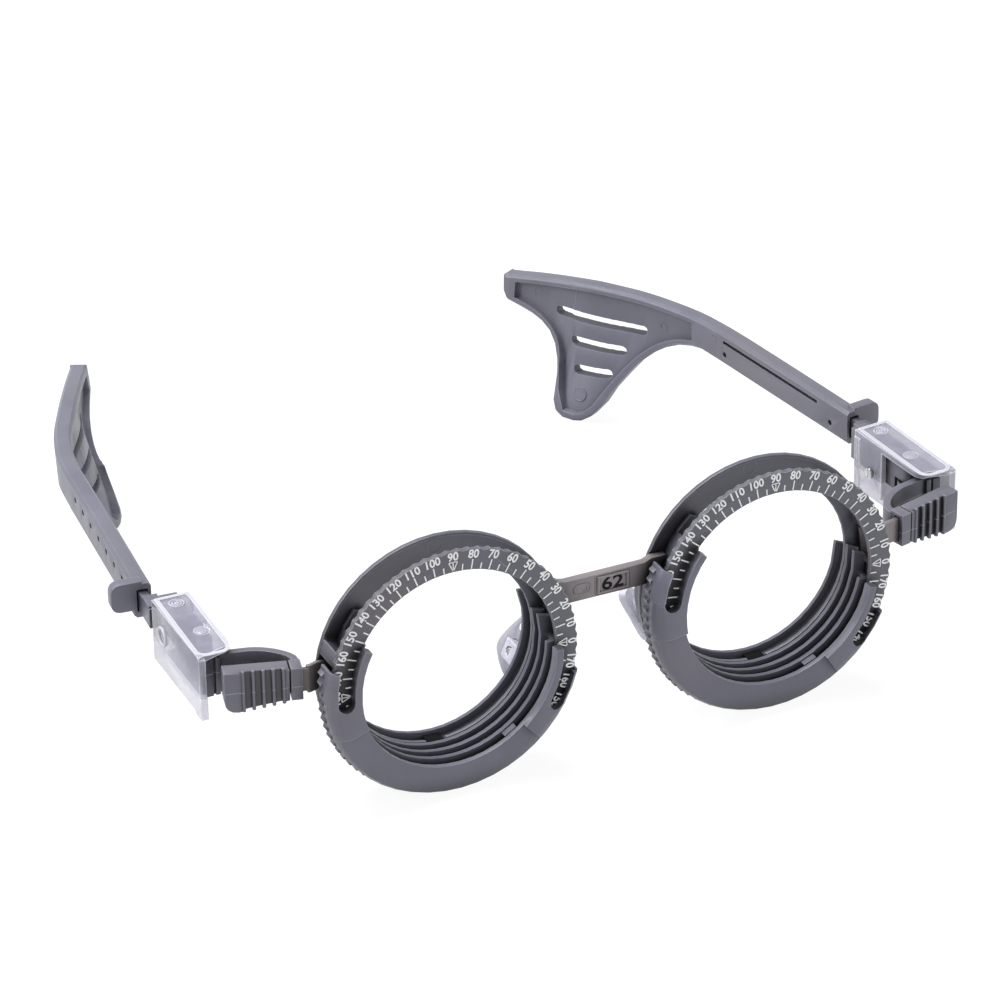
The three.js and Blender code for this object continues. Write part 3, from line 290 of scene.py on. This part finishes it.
def clear_plastic(name, colour, edge_colour, cover_flat, cover_edge, upper=None, above=0.0):
    """Clear moulded plastic: faces and edges that cover those shares of what lies behind them,
    with faint flow ripples and edges painted paler as a highlight. Where an upper colour is given,
    it starts at the height above, in millimetres, as a darker band of painted shade."""
    shader = Shader(name)
    ripple = shader.noise(RIPPLE_SIZE, 2, (1, 1, 2))
    fine = shader.noise(0.35, 2)
    edge = shader.edges(0.55, 0.1)
    cloud = shader.span(ripple, 0.4, 0.9, 0, 0.4)
    body = rgba(colour)
    # painted shade: above that height the darker upper colour, for the grey inside as it shows
    # through the wall
    if upper is not None:
        level = origin.z + above * MM
        share = shader.span(shader.height(), level, level + UPPER_FADE * MM)
        body = shader.mix(share, body, rgba(upper))
    body = shader.mix(shader.math("MULTIPLY", cloud, 0.6), body, rgba(scaled(edge_colour, 0.96)))
    # painted highlight: edges paler, and more opaque through the alpha below
    body = shader.mix(edge, body, rgba(edge_colour))
    shader.feed(shader.surface.inputs["Base Color"], body)
    shader.feed(shader.surface.inputs["Roughness"], shader.span(fine, 0.3, 0.7, 0.06, 0.16))
    cover = shader.math("ADD", shader.span(edge, 0, 1, cover_flat, cover_edge),
                        shader.span(ripple, 0.35, 0.75, -0.02, 0.03))
    shader.feed(shader.surface.inputs["Alpha"], cover)
    shader.surface.inputs["IOR"].default_value = 1.49
    shader.bump((ripple, RIPPLE_DEPTH), (fine, 0.003))
    return shader.material


def turned_steel(name, colour):
    """Turned steel: fine rings of tool marks, scratches, mild tarnish."""
    shader = Shader(name)
    marks = shader.noise(0.12, 2, (6, 1, 1))
    tarnish = shader.noise(1.2, 3)
    body = shader.mix(shader.span(tarnish, 0.4, 0.7), rgba(colour), rgba(scaled(colour, 0.7)))
    shader.feed(shader.surface.inputs["Base Color"], body)
    shader.surface.inputs["Metallic"].default_value = 1
    shader.feed(shader.surface.inputs["Roughness"], shader.span(marks, 0.3, 0.7, 0.22, 0.42))
    shader.bump((marks, 0.004))
    return shader.material


def printed(name, colour, worn, rough):
    """Pad-printed ink with slightly uneven cover."""
    shader = Shader(name)
    cover = shader.noise(0.3, 3)
    body = shader.mix(shader.span(cover, 0.45, 0.7, 0, 0.5), rgba(colour), rgba(worn))
    shader.feed(shader.surface.inputs["Base Color"], body)
    shader.feed(shader.surface.inputs["Roughness"],
                shader.span(cover, 0.3, 0.7, rough, rough + 0.2))
    shader.surface.inputs["Specular IOR Level"].default_value = 0.15
    shader.bump((cover, 0.004))
    return shader.material


GREY = (0.14, 0.141, 0.182)
# paler colour of edges and the mould seam: wear and painted highlight
PALE_EDGE = (0.34, 0.345, 0.41)
grey_plastic = moulded("grey_plastic", GREY, PALE_EDGE)
clip_plastic = moulded("clip_plastic", GREY, PALE_EDGE, seam=1.1, edge_wear_and_highlight=0.28, closed=0.5)
# painted shade: a darker copy of the grey plastic for the leaves deep inside the rings
shaded_leaf_plastic = moulded("shaded_leaf_plastic", scaled(GREY, 0.8), scaled(PALE_EDGE, 0.85),
                       rough=(0.42, 0.55), shine=0.3, shade=0.36)
# painted light: a lighter copy of the grey plastic for the temples, with weaker painted shade in
# hollows
lit_temple_plastic = moulded("lit_temple_plastic", scaled(GREY, 1.06), PALE_EDGE, closed=0.1, shade=0.4)
# painted shade: a darker copy of the grey plastic for the back plates, with a painted highlight on
# their paler rim
shaded_plate_plastic = moulded("shaded_plate_plastic", scaled(GREY, 0.71), (0.42, 0.425, 0.49), edge_wear_and_highlight=0.3)
# dial: paler edges as a painted highlight on the scalloped rim, strong painted shade where the caps
# close over it
dial_plastic = moulded("dial_plastic", (0.115, 0.115, 0.14), (0.5, 0.5, 0.56),
                       rough=(0.45, 0.6), edge_wear_and_highlight=0.26, closed=0.76, shade=0.06)
# strip: paler edge colour as wear and painted highlight on the rounded edges
strip_plastic = moulded("strip_plastic", (0.245, 0.218, 0.232), (0.5, 0.46, 0.46),
                        rough=(0.28, 0.42), grain=0.5, depth=0.003)
black_plastic = moulded("black_plastic", (0.004, 0.004, 0.005), (0.02, 0.02, 0.024), shine=0.05)
# painted shade: a darker plastic for the wall at the back of the lever's grooves
groove_shade_plastic = moulded("groove_shade_plastic", (0.085, 0.087, 0.107), scaled(GREY, 1.1))
# clear plastics: edge colours are painted highlights; the shell's upper colour is painted shade
# above -1.7 mm
clear_shell = clear_plastic("clear_shell", (0.78, 0.77, 0.88), (0.93, 0.92, 0.98), 0.62, 0.88,
                            upper=(0.36, 0.36, 0.46), above=-1.7)
clear_lid = clear_plastic("clear_lid", (0.5, 0.5, 0.6), (0.8, 0.79, 0.87), 0.72, 0.8)
clear_rim = clear_plastic("clear_rim", (0.74, 0.73, 0.82), (0.86, 0.85, 0.92), 0.7, 0.85)
clear_pad = clear_plastic("clear_pad", (0.72, 0.71, 0.83), (0.85, 0.84, 0.92), 0.72, 0.86)
screw_steel = turned_steel("screw_steel", (0.62, 0.62, 0.64))
white_print = printed("white_print", (0.9, 0.9, 0.91), (0.62, 0.62, 0.65), 0.45)
black_print = printed("black_print", (0.004, 0.004, 0.005), (0.012, 0.012, 0.014), 0.5)

# Which material and how wide an edge rounding each CAD node gets

NODE_LOOKS = {
    "bridge_strip": (strip_plastic, 0.07),
    "back_plate": (shaded_plate_plastic, 0.09),
    "rear_leaf": (shaded_leaf_plastic, 0.09),
    "lens_spring": (black_plastic, 0.08),
    "dial": (dial_plastic, 0.06),
    "cell_cap": (grey_plastic, 0.1),
    "cell_leaves": (shaded_leaf_plastic, 0.09),
    "end_strip": (strip_plastic, 0.1),
    "clip_arch": (clip_plastic, 0.16),
    "clip_lever": (clip_plastic, 0.14),
    "hinge_pin": (screw_steel, 0.08),
    "hinge_housing": (clear_shell, 0.16),
    "housing_screw": (screw_steel, 0.05),
    "temple_rod": (grey_plastic, 0.12),
    "detent_ball": (screw_steel, 0.0),
    "temple_sleeve": (lit_temple_plastic, 0.18),
    "pad_arm": (clear_pad, 0.1),
    "nose_pad": (clear_pad, 0.2),
    "pad_screw": (screw_steel, 0.05),
}
WELD = 0.002
SHARP = 32  # degrees: what turns more than this is an edge


def round_edges(thing, width):
    bevel = thing.modifiers.new("rounding", "BEVEL")
    bevel.width = width * MM
    bevel.segments = 2
    return bevel


def dress(node, material, rounding):
    """Gives a CAD node its material, smooth shading and small rounded edges."""
    for slot in node.material_slots:
        slot.material = material
    for face in node.data.polygons:
        face.use_smooth = True
    weld = node.modifiers.new("weld", "WELD")
    weld.merge_threshold = WELD * MM
    if rounding:
        bevel = round_edges(node, rounding)
        bevel.limit_method = "ANGLE"
        bevel.angle_limit = math.radians(SHARP)
        bevel.harden_normals = True
        bevel.use_clamp_overlap = True


for name, node in frame["nodes"].items():
    side, _, rest = name.partition("_")
    dress(node, *NODE_LOOKS[rest if side in SIDES else name])


# New pieces

def piece(name, mesh, material, body):
    """An object of that mesh, which is in the row frame, riding on a CAD body."""
    thing = bpy.data.objects.new(name, mesh)
    bpy.context.scene.collection.objects.link(thing)
    mesh.materials.append(material)
    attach(thing, body)
    return thing


def mesh_of(form, name):
    mesh = bpy.data.meshes.new(name)
    form.to_mesh(mesh)
    form.free()
    return mesh


def form_piece(name, form, material, body, face_out=False):
    """A piece from a form, with its faces turned outward first where that is asked for."""
    if face_out:
        bmesh.ops.recalc_face_normals(form, faces=form.faces)
    return piece(name, mesh_of(form, name), material, body)


def skin(form, low, high, smooth=False):
    """Joins two closed rows of vertices with as many corners each."""
    for i in range(len(low)):
        j = (i + 1) % len(low)
        form.faces.new((low[i], low[j], high[j], high[i])).smooth = smooth


def bead(form, rows):
    """Joins the closed rows round a bead, the last one to the first."""
    for i, row in enumerate(rows):
        after = rows[(i + 1) % len(rows)]
        for k in range(len(row)):
            n = (k + 1) % len(row)
            form.faces.new((row[k], after[k], after[n], row[n])).smooth = True


def words_mesh(words, bold):
    """Flat mesh of words in the XY plane, as wide and tall as the font makes it."""
    curve = bpy.data.curves.new("words", "FONT")
    curve.body = words
    curve.align_x = "CENTER"
    curve.offset = bold
    curve.resolution_u = 4
    holder = bpy.data.objects.new("words", curve)
    bpy.context.scene.collection.objects.link(holder)
    bpy.context.view_layer.update()
    graph = bpy.context.evaluated_depsgraph_get()
    mesh = bpy.data.meshes.new_from_object(holder.evaluated_get(graph))
    bpy.data.objects.remove(holder)
    bpy.data.curves.remove(curve)
    return mesh


def height_of(mesh):
    heights = [v.co.y for v in mesh.vertices]
    return min(heights), max(heights)


def stroke(form, plane, start, end, width):
    """A straight printed line from start to end, both flat places in the plane's own frame."""
    start, end = Vector(start), Vector(end)
    across = (end - start).normalized().orthogonal() * width / 2
    corners = [start + across, end + across, end - across, start - across]
    form.faces.new([form.verts.new(plane @ c.to_3d()) for c in corners])


# The degree scale: ticks at every 5 degrees, numbers at every 10, and a triangle at each
# quarter, all printed on the dial's front

SCALE = {"start": 0.15, "short": 1.15, "long": 1.85, "tick": 0.25, "number": 1.68,
         "number_gap": 0.2, "condense": 0.92, "bold": 0.028, "lift": 0.02}
POINTER = {"half_width": 0.82, "length": 1.8, "line": 0.2}
DIAL_INNER = 19.35


def scale_plane(centre, angle):
    """Frame on the dial at that angle: X along the rim, clockwise, and Y away from the axis."""
    out = Vector((math.cos(angle), 0, math.sin(angle)))
    along = Vector((math.sin(angle), 0, -math.cos(angle)))
    toward = Vector((0, -1, 0))
    return Matrix.Translation(centre) @ Matrix((along, out, toward)).transposed().to_4x4()


def print_scale(side):
    low, high = dial_boxes[side]
    centre = Vector(((low.x + high.x) / 2, low.y - SCALE["lift"] * MM, (low.z + high.z) / 2))
    start = (DIAL_INNER + SCALE["start"]) * MM
    form = bmesh.new()
    eight = height_of(number_meshes["80"])
    grow = SCALE["number"] * MM / (eight[1] - eight[0])
    for degrees in range(0, 360, 5):
        plane = scale_plane(centre, math.radians(degrees))
        tens = degrees % 10 == 0
        if degrees % 90 == 0:
            tip, base = start, start + POINTER["length"] * MM
            half = POINTER["half_width"] * MM
            for a, b in (((0, tip), (-half, base)), ((-half, base), (half, base)),
                         ((half, base), (0, tip)), ((0, tip), (0, base))):
                stroke(form, plane, a, b, POINTER["line"] * MM)
        else:
            length = SCALE["long"] if tens else SCALE["short"]
            stroke(form, plane, (0, start), (0, start + length * MM), SCALE["tick"] * MM)
        if tens:
            words = str(degrees if degrees <= 180 else degrees - 180)
            foot = start + (SCALE["long"] + SCALE["number_gap"]) * MM - eight[0] * grow
            size = Matrix.Diagonal((grow * SCALE["condense"], grow, 1, 1))
            before = len(form.verts)
            form.from_mesh(number_meshes[words])
            form.verts.ensure_lookup_table()
            spot = plane @ Matrix.Translation((0, foot, 0)) @ size
            for vertex in form.verts[before:]:
                vertex.co = spot @ vertex.co
    form_piece(f"{side}_scale_print", form, white_print, "front")


number_meshes = {str(n): words_mesh(str(n), SCALE["bold"]) for n in range(0, 190, 10)}
for side in SIDES:
    print_scale(side)


# The lens-distance mark, printed in the raised frame on the bridge

FRAME_RELIEF = 0.3
strap_face = (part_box("bridge_strip")[0].y - origin.y) / MM + FRAME_RELIEF
MARK = {"words": "62", "x": 1.45, "z": 6.8, "height": 2.55, "bold": 0.02,
        "condense": 1.28, "lift": 0.03}


def print_mark():
    mesh = words_mesh(MARK["words"], MARK["bold"])
    low, high = height_of(mesh)
    grow = MARK["height"] * MM / (high - low)
    centre = at(MARK["x"], strap_face - MARK["lift"], MARK["z"])
    plane = scale_plane(centre, math.radians(90))
    middle = Matrix.Translation((0, -(low + high) / 2 * grow, 0))
    mesh.transform(plane @ middle @ Matrix.Diagonal((grow * MARK["condense"], grow, 1, 1)))
    piece("distance_print", mesh, black_print, "front")


print_mark()


# Raised lines round the mark's frame and the oval dimple beside it

FRAME_LINES = [
    # half width, half height, corner radius, middle x, distance in front of the strap, bead radius
    (3.4, 2.0, 0.3, 1.45, 0.0, 0.1),
    (2.86, 1.5, 0.2, 1.45, FRAME_RELIEF, 0.09),
    (1.6, 0.95, 0.94, -4.5, 0.0, 0.13),
]


def rounded_line(half_width, half_height, radius, steps=8):
    """Places round a rectangle with rounded corners, about its middle."""
    line = []
    for sx, sz, begin in ((1, 1, 0), (-1, 1, 90), (-1, -1, 180), (1, -1, 270)):
        for i in range(steps + 1):
            a = math.radians(begin + 90 * i / steps)
            line.append((sx * (half_width - radius) + radius * math.cos(a),
                         sz * (half_height - radius) + radius * math.sin(a)))
    return line


def bead_along(form, places, radius, sides=6):
    """A closed bead through the places, which lie on one upright face."""
    rows = []
    middle = sum(places, Vector()) / len(places)
    for place in places:
        out = (place - middle).normalized()
        toward = Vector((0, -1, 0))
        rows.append([form.verts.new(place + (out * math.cos(b) + toward * math.sin(b)) * radius)
                     for b in (2 * math.pi * k / sides for k in range(sides))])
    bead(form, rows)


def bridge_lines():
    form = bmesh.new()
    for half_width, half_height, corner, x, ahead, radius in FRAME_LINES:
        places = [at(x + px, strap_face - ahead, MARK["z"] + pz)
                  for px, pz in rounded_line(half_width, half_height, corner)]
        bead_along(form, places, radius * MM)
    form_piece("bridge_lines", form, strip_plastic, "front", face_out=True)


bridge_lines()


# Rings left by the mould's ejector pins, and the ring round the mark on the left housing's
# side. Each is given by its pixel in the photograph and sits on the CAD surface there.

def camera_ray(px, py):
    half = IMAGE / 2
    aim = (camera_ahead + camera_right * ((px - half) / VIEW["focal_pixels"])
           - camera_up * ((py - half) / VIEW["focal_pixels"]))
    return camera.matrix_world.translation.copy(), aim.normalized()


def surface_at(node, px, py):
    """The point and normal of the CAD node where the photograph's pixel meets it."""
    mesh = frame["nodes"][node].data
    tree = BVHTree.FromPolygons([v.co for v in mesh.vertices], [p.vertices for p in mesh.polygons])
    start, aim = camera_ray(px, py)
    point, normal, _, _ = tree.ray_cast(start, aim)
    return point, normal


def ring_form(form, spot, normal, radius, thick, steps=40, sides=8):
    """A bead round a circle on a surface, half sunk in it, with its thickness as a radius."""
    turn = normal.to_track_quat("Z", "Y").to_matrix().to_4x4()
    frame_there = Matrix.Translation(spot) @ turn
    rows = []
    for i in range(steps):
        a = 2 * math.pi * i / steps
        row = []
        for k in range(sides):
            b = 2 * math.pi * k / sides
            reach = radius + thick * math.cos(b)
            row.append(form.verts.new(frame_there @ Vector(
                (reach * math.cos(a), reach * math.sin(a), thick * math.sin(b)))))
        rows.append(row)
    bead(form, rows)


EJECTOR_MARKS = [
    # CAD node, its body, the pixel, radius and bead radius in millimetres, material, slot
    ("left_back_plate", "front", 434, 546, 1.35, 0.07, shaded_plate_plastic, "grey_plastic"),
    ("right_back_plate", "front", 750, 467, 1.35, 0.07, shaded_plate_plastic, "grey_plastic"),
    ("right_temple_sleeve", "right_temple", 539, 292, 0.9, 0.08, lit_temple_plastic, "grey_plastic"),
    ("right_temple_sleeve", "right_temple", 580, 394, 1.35, 0.08, lit_temple_plastic, "grey_plastic"),
    ("right_temple_sleeve", "right_temple", 664, 327, 0.8, 0.08, lit_temple_plastic, "grey_plastic"),
    ("right_temple_sleeve", "right_temple", 714, 336.5, 0.55, 0.07, lit_temple_plastic, "grey_plastic"),
    ("left_hinge_housing", "left_hinge", 162.3, 636.6, 1.65, 0.3, clear_rim, "clear_plastic"),
]

for number, (node, body, px, py, radius, thick, material, slot) in enumerate(EJECTOR_MARKS):
    form = bmesh.new()
    ring_form(form, *surface_at(node, px, py), radius * MM, thick * MM)
    form_piece(f"ejector_mark_{number}", form, material, body)


# Rim and marks on the lid of each clear hinge housing

LID = {"inner": -2.9, "outer": 4.0, "front": -8.6, "rear": 13.6, "top": 5.8,
       "corner": 2.2, "least_corner": 0.3, "rear_corner": 0.35,
       "lip": 0.12, "rim": 0.9, "rise": 0.14, "sink": 0.06, "rounding": 0.05}
LID_MARK = {"out": 0.6, "back": 10.6, "radii": (1.3, 0.8, 0.3), "bead": 0.16}
PIN_CAP = {"radius": 1.3, "rise": 0.16, "steps": 32, "shares": (1, 0.96, 0.8, 0.5, 0.2)}
ROD_KINK = 3.7  # degrees of toe-in of the temple against its housing
joints = {joint["name"]: joint for joint in frame["joints"]}


def housing_frame(side):
    """Frame of the housing at its hinge: X outward, Y to its rear, Z up."""
    slide = joints[f"{side}_length_slide"]["axis"]
    ahead = Vector(slide).normalized() * -1
    kink = math.radians(ROD_KINK) * SIDES[side]
    back = Matrix.Rotation(-kink, 3, "Z") @ ahead
    out = Vector((back.y, -back.x, 0)) * SIDES[side]
    turn = Matrix((out, back, Vector((0, 0, 1)))).transposed().to_4x4()
    place = Vector(joints[f"{side}_fold"]["pos_m"])
    place.z = origin.z
    return Matrix.Translation(place) @ turn


def rounded_outline(inset, steps=6):
    """Corners of the lid's outline, rounded at the front, moved inward by inset."""
    x0, x1 = LID["inner"] + inset, LID["outer"] - inset
    y0, y1 = LID["front"] + inset, LID["rear"] - inset
    front, rear = max(LID["corner"] - inset, LID["least_corner"]), LID["rear_corner"]
    outline = []
    for cx, cy, r, begin in ((x1 - rear, y1 - rear, rear, 0), (x0 + rear, y1 - rear, rear, 90),
                             (x0 + front, y0 + front, front, 180),
                             (x1 - front, y0 + front, front, 270)):
        for i in range(steps + 1):
            a = math.radians(begin + 90 * i / steps)
            outline.append((cx + r * math.cos(a), cy + r * math.sin(a)))
    return outline


def domed_cap(form, spot):
    """The milky round seal over the hinge pin, a shallow dome."""
    rows = []
    radius, rise, steps = PIN_CAP["radius"] * MM, PIN_CAP["rise"] * MM, PIN_CAP["steps"]
    for share in PIN_CAP["shares"]:
        height = rise * math.sqrt(1 - share ** 3) if share < 1 else 0
        rows.append([form.verts.new(spot + Vector((
            radius * share * math.cos(2 * math.pi * i / steps),
            radius * share * math.sin(2 * math.pi * i / steps), height))) for i in range(steps)])
    for low, high in zip(rows, rows[1:]):
        skin(form, low, high, smooth=True)
    form.faces.new(rows[-1])


def lid_rim(side):
    place = housing_frame(side)
    form = bmesh.new()
    foot, crest = LID["top"] - LID["sink"], LID["top"] + LID["rise"]
    loops = [[form.verts.new(place @ (Vector((x, y, z)) * MM)) for x, y in rounded_outline(inset)]
             for inset, z in ((LID["lip"], foot), (LID["lip"], crest),
                              (LID["rim"], crest), (LID["rim"], foot))]
    for low, high in zip(loops, loops[1:] + loops[:1]):
        skin(form, low, high)
    rim = form_piece(f"{side}_lid_rim", form, clear_rim, f"{side}_hinge",
                     face_out=True)
    round_edges(rim, LID["rounding"])


def lid_marks(side):
    place = housing_frame(side)
    form = bmesh.new()
    spot = place @ (Vector((LID_MARK["out"], LID_MARK["back"], LID["top"])) * MM)
    for radius in LID_MARK["radii"]:
        ring_form(form, spot, Vector((0, 0, 1)), radius * MM, LID_MARK["bead"] * MM)
    domed_cap(form, place @ Vector((0, 0, LID["top"] * MM)))
    form_piece(f"{side}_lid_marks", form, clear_lid, f"{side}_hinge")


for side in SIDES:
    lid_rim(side)
    lid_marks(side)


# The ribs of each clip lever, rounded and a little proud of it, and the thin wall that closes the
# grooves between them, in a darker plastic as painted shade. Places are in the clip's own plan:
# X along the end strip, Y rearward.

BEND = {"out": 56.1, "back": -1.1, "angle": 14}
CLIP_OUT = {"left": 0.0, "right": 2.6}
STRIP_MIDDLE = 1.6
LEVER = {"start": 3.2, "length": 11.3, "front": -1.5, "half_height": 3.1, "drop": 1.3, "rise": 0.4}
RIBS = {"first": 4.2, "pitch": 1.75, "count": 5, "below": 0.25, "above": 0.35, "root": -1.05,
        "rounding": 0.1}
RIB_SECTION = [(-0.32, 0), (-0.28, -0.14), (-0.12, -0.27), (0.12, -0.27), (0.28, -0.14), (0.32, 0)]
LEVER_WALL = {"front": -1.0, "back": -0.88}


def lever_span(x):
    """Heights of the lever's lower and upper edge at x."""
    share = (x - LEVER["start"]) / LEVER["length"]
    return (STRIP_MIDDLE - LEVER["half_height"] - LEVER["drop"] * share,
            STRIP_MIDDLE + LEVER["half_height"] + LEVER["rise"] * share)


def in_clip(side, x, y, z):
    angle = math.radians(BEND["angle"])
    x += CLIP_OUT[side]
    return at(SIDES[side] * (BEND["out"] + x * math.cos(angle) - y * math.sin(angle)),
              BEND["back"] + x * math.sin(angle) + y * math.cos(angle), z)


def prism(form, low, high):
    """A closed solid between two rings of places with as many corners each."""
    low, high = [[form.verts.new(place) for place in ring] for ring in (low, high)]
    form.faces.new(low)
    form.faces.new(high[::-1])
    skin(form, low, high)


def lever_ribs(side):
    form = bmesh.new()
    for i in range(RIBS["count"]):
        middle = RIBS["first"] + i * RIBS["pitch"]
        low, high = lever_span(middle)
        section = [(x, LEVER["front"] + y) for x, y in RIB_SECTION]
        section += [(RIB_SECTION[-1][0], RIBS["root"]), (RIB_SECTION[0][0], RIBS["root"])]
        prism(form, *[[in_clip(side, middle + x, y, z) for x, y in section]
                      for z in (low - RIBS["below"], high + RIBS["above"])])
    ribs = form_piece(f"{side}_lever_ribs", form, clip_plastic, f"{side}_lever",
                      face_out=True)
    round_edges(ribs, RIBS["rounding"])


def lever_wall(side):
    form = bmesh.new()
    x0, x1 = RIBS["first"], RIBS["first"] + (RIBS["count"] - 1) * RIBS["pitch"]
    corners = [(x0, lever_span(x0)[0]), (x1, lever_span(x1)[0]), (x1, lever_span(x1)[1]),
               (x0, lever_span(x0)[1])]
    prism(form, *[[in_clip(side, x, y, z) for x, z in corners]
                  for y in (LEVER_WALL["front"], LEVER_WALL["back"])])
    # the wall is drawn in the darker plastic as painted shade in the grooves
    form_piece(f"{side}_lever_wall", form, groove_shade_plastic, f"{side}_lever",
               face_out=True)


for side in SIDES:
    lever_ribs(side)
    lever_wall(side)


# Floor, world and lamps

FLOOR_SIZE = 6.0
FLOOR_GAP = 0.02  # millimetres under the part
FLOOR_COVER = 0.9  # share of white that the floor shows by itself
FLOOR_SHADED = 0.2  # share that the lamps and the object's shadow act on
FLOOR_PLAIN = 0.6  # grey of the floor as it lights the part
WORLD_LEVEL = 0.2
LAMPS = [
    # name, place from the object's middle in metres, size, watts
    ("overhead", (-0.15, 0.35, 1.2), 0.8, 15.0),
    ("left", (-0.4, 0.2, 0.32), 0.25, 1.5),
    ("front_left", (-0.3, -1.2, 0.55), 0.6, 4.2),
    ("front_right", (0.9, -0.9, 0.4), 0.5, 3.4),
]


def seen_rays(tree):
    """1 for rays from the camera, a mirror or clear plastic, and 0 for the rest."""
    paths = tree.nodes.new("ShaderNodeLightPath")
    total = paths.outputs["Is Camera Ray"]
    for key in ("Is Glossy Ray", "Is Transmission Ray"):
        node = tree.nodes.new("ShaderNodeMath")
        node.operation = "MAXIMUM"
        tree.links.new(total, node.inputs[0])
        tree.links.new(paths.outputs[key], node.inputs[1])
        total = node.outputs[0]
    return total


def floor():
    form = bmesh.new()
    bmesh.ops.create_grid(form, x_segments=8, y_segments=8, size=FLOOR_SIZE / 2)
    mesh = mesh_of(form, "floor")
    thing = bpy.data.objects.new("floor", mesh)
    thing.location = (0, 0, cad_box[0][2] - FLOOR_GAP * MM)
    bpy.context.scene.collection.objects.link(thing)
    material = bpy.data.materials.new("floor_white")
    material.use_nodes = True
    tree = material.node_tree
    tree.nodes.clear()
    plain = tree.nodes.new("ShaderNodeBsdfDiffuse")
    plain.inputs["Color"].default_value = (FLOOR_PLAIN, FLOOR_PLAIN, FLOOR_PLAIN, 1)
    shaded = tree.nodes.new("ShaderNodeBsdfDiffuse")
    shaded.inputs["Color"].default_value = (FLOOR_SHADED, FLOOR_SHADED, FLOOR_SHADED, 1)
    glow = tree.nodes.new("ShaderNodeEmission")
    glow.inputs["Strength"].default_value = FLOOR_COVER
    both = tree.nodes.new("ShaderNodeAddShader")
    tree.links.new(shaded.outputs[0], both.inputs[0])
    tree.links.new(glow.outputs[0], both.inputs[1])
    choice = tree.nodes.new("ShaderNodeMixShader")
    tree.links.new(seen_rays(tree), choice.inputs[0])
    tree.links.new(plain.outputs[0], choice.inputs[1])
    tree.links.new(both.outputs[0], choice.inputs[2])
    end = tree.nodes.new("ShaderNodeOutputMaterial")
    tree.links.new(choice.outputs[0], end.inputs["Surface"])
    mesh.materials.append(material)


def world():
    scene_world = bpy.data.worlds.new("studio")
    bpy.context.scene.world = scene_world
    scene_world.use_nodes = True
    tree = scene_world.node_tree
    tree.nodes.clear()
    white = tree.nodes.new("ShaderNodeBackground")
    soft = tree.nodes.new("ShaderNodeBackground")
    soft.inputs["Color"].default_value = (0.97, 0.98, 1, 1)
    soft.inputs["Strength"].default_value = WORLD_LEVEL
    choice = tree.nodes.new("ShaderNodeMixShader")
    tree.links.new(seen_rays(tree), choice.inputs[0])
    tree.links.new(soft.outputs[0], choice.inputs[1])
    tree.links.new(white.outputs[0], choice.inputs[2])
    end = tree.nodes.new("ShaderNodeOutputWorld")
    tree.links.new(choice.outputs[0], end.inputs["Surface"])


def lamps():
    middle = Vector([(a + b) / 2 for a, b in zip(*cad_box)])
    for name, place, size, watts in LAMPS:
        data = bpy.data.lights.new(name, "AREA")
        data.size = size
        data.energy = watts
        lamp = bpy.data.objects.new(name, data)
        lamp.location = middle + Vector(place)
        lamp.rotation_euler = (-Vector(place)).to_track_quat("-Z", "Y").to_euler()
        bpy.context.scene.collection.objects.link(lamp)


floor()
world()
lamps()
bpy.context.scene.view_settings.view_transform = "Standard"

bpy.context.view_layer.update()
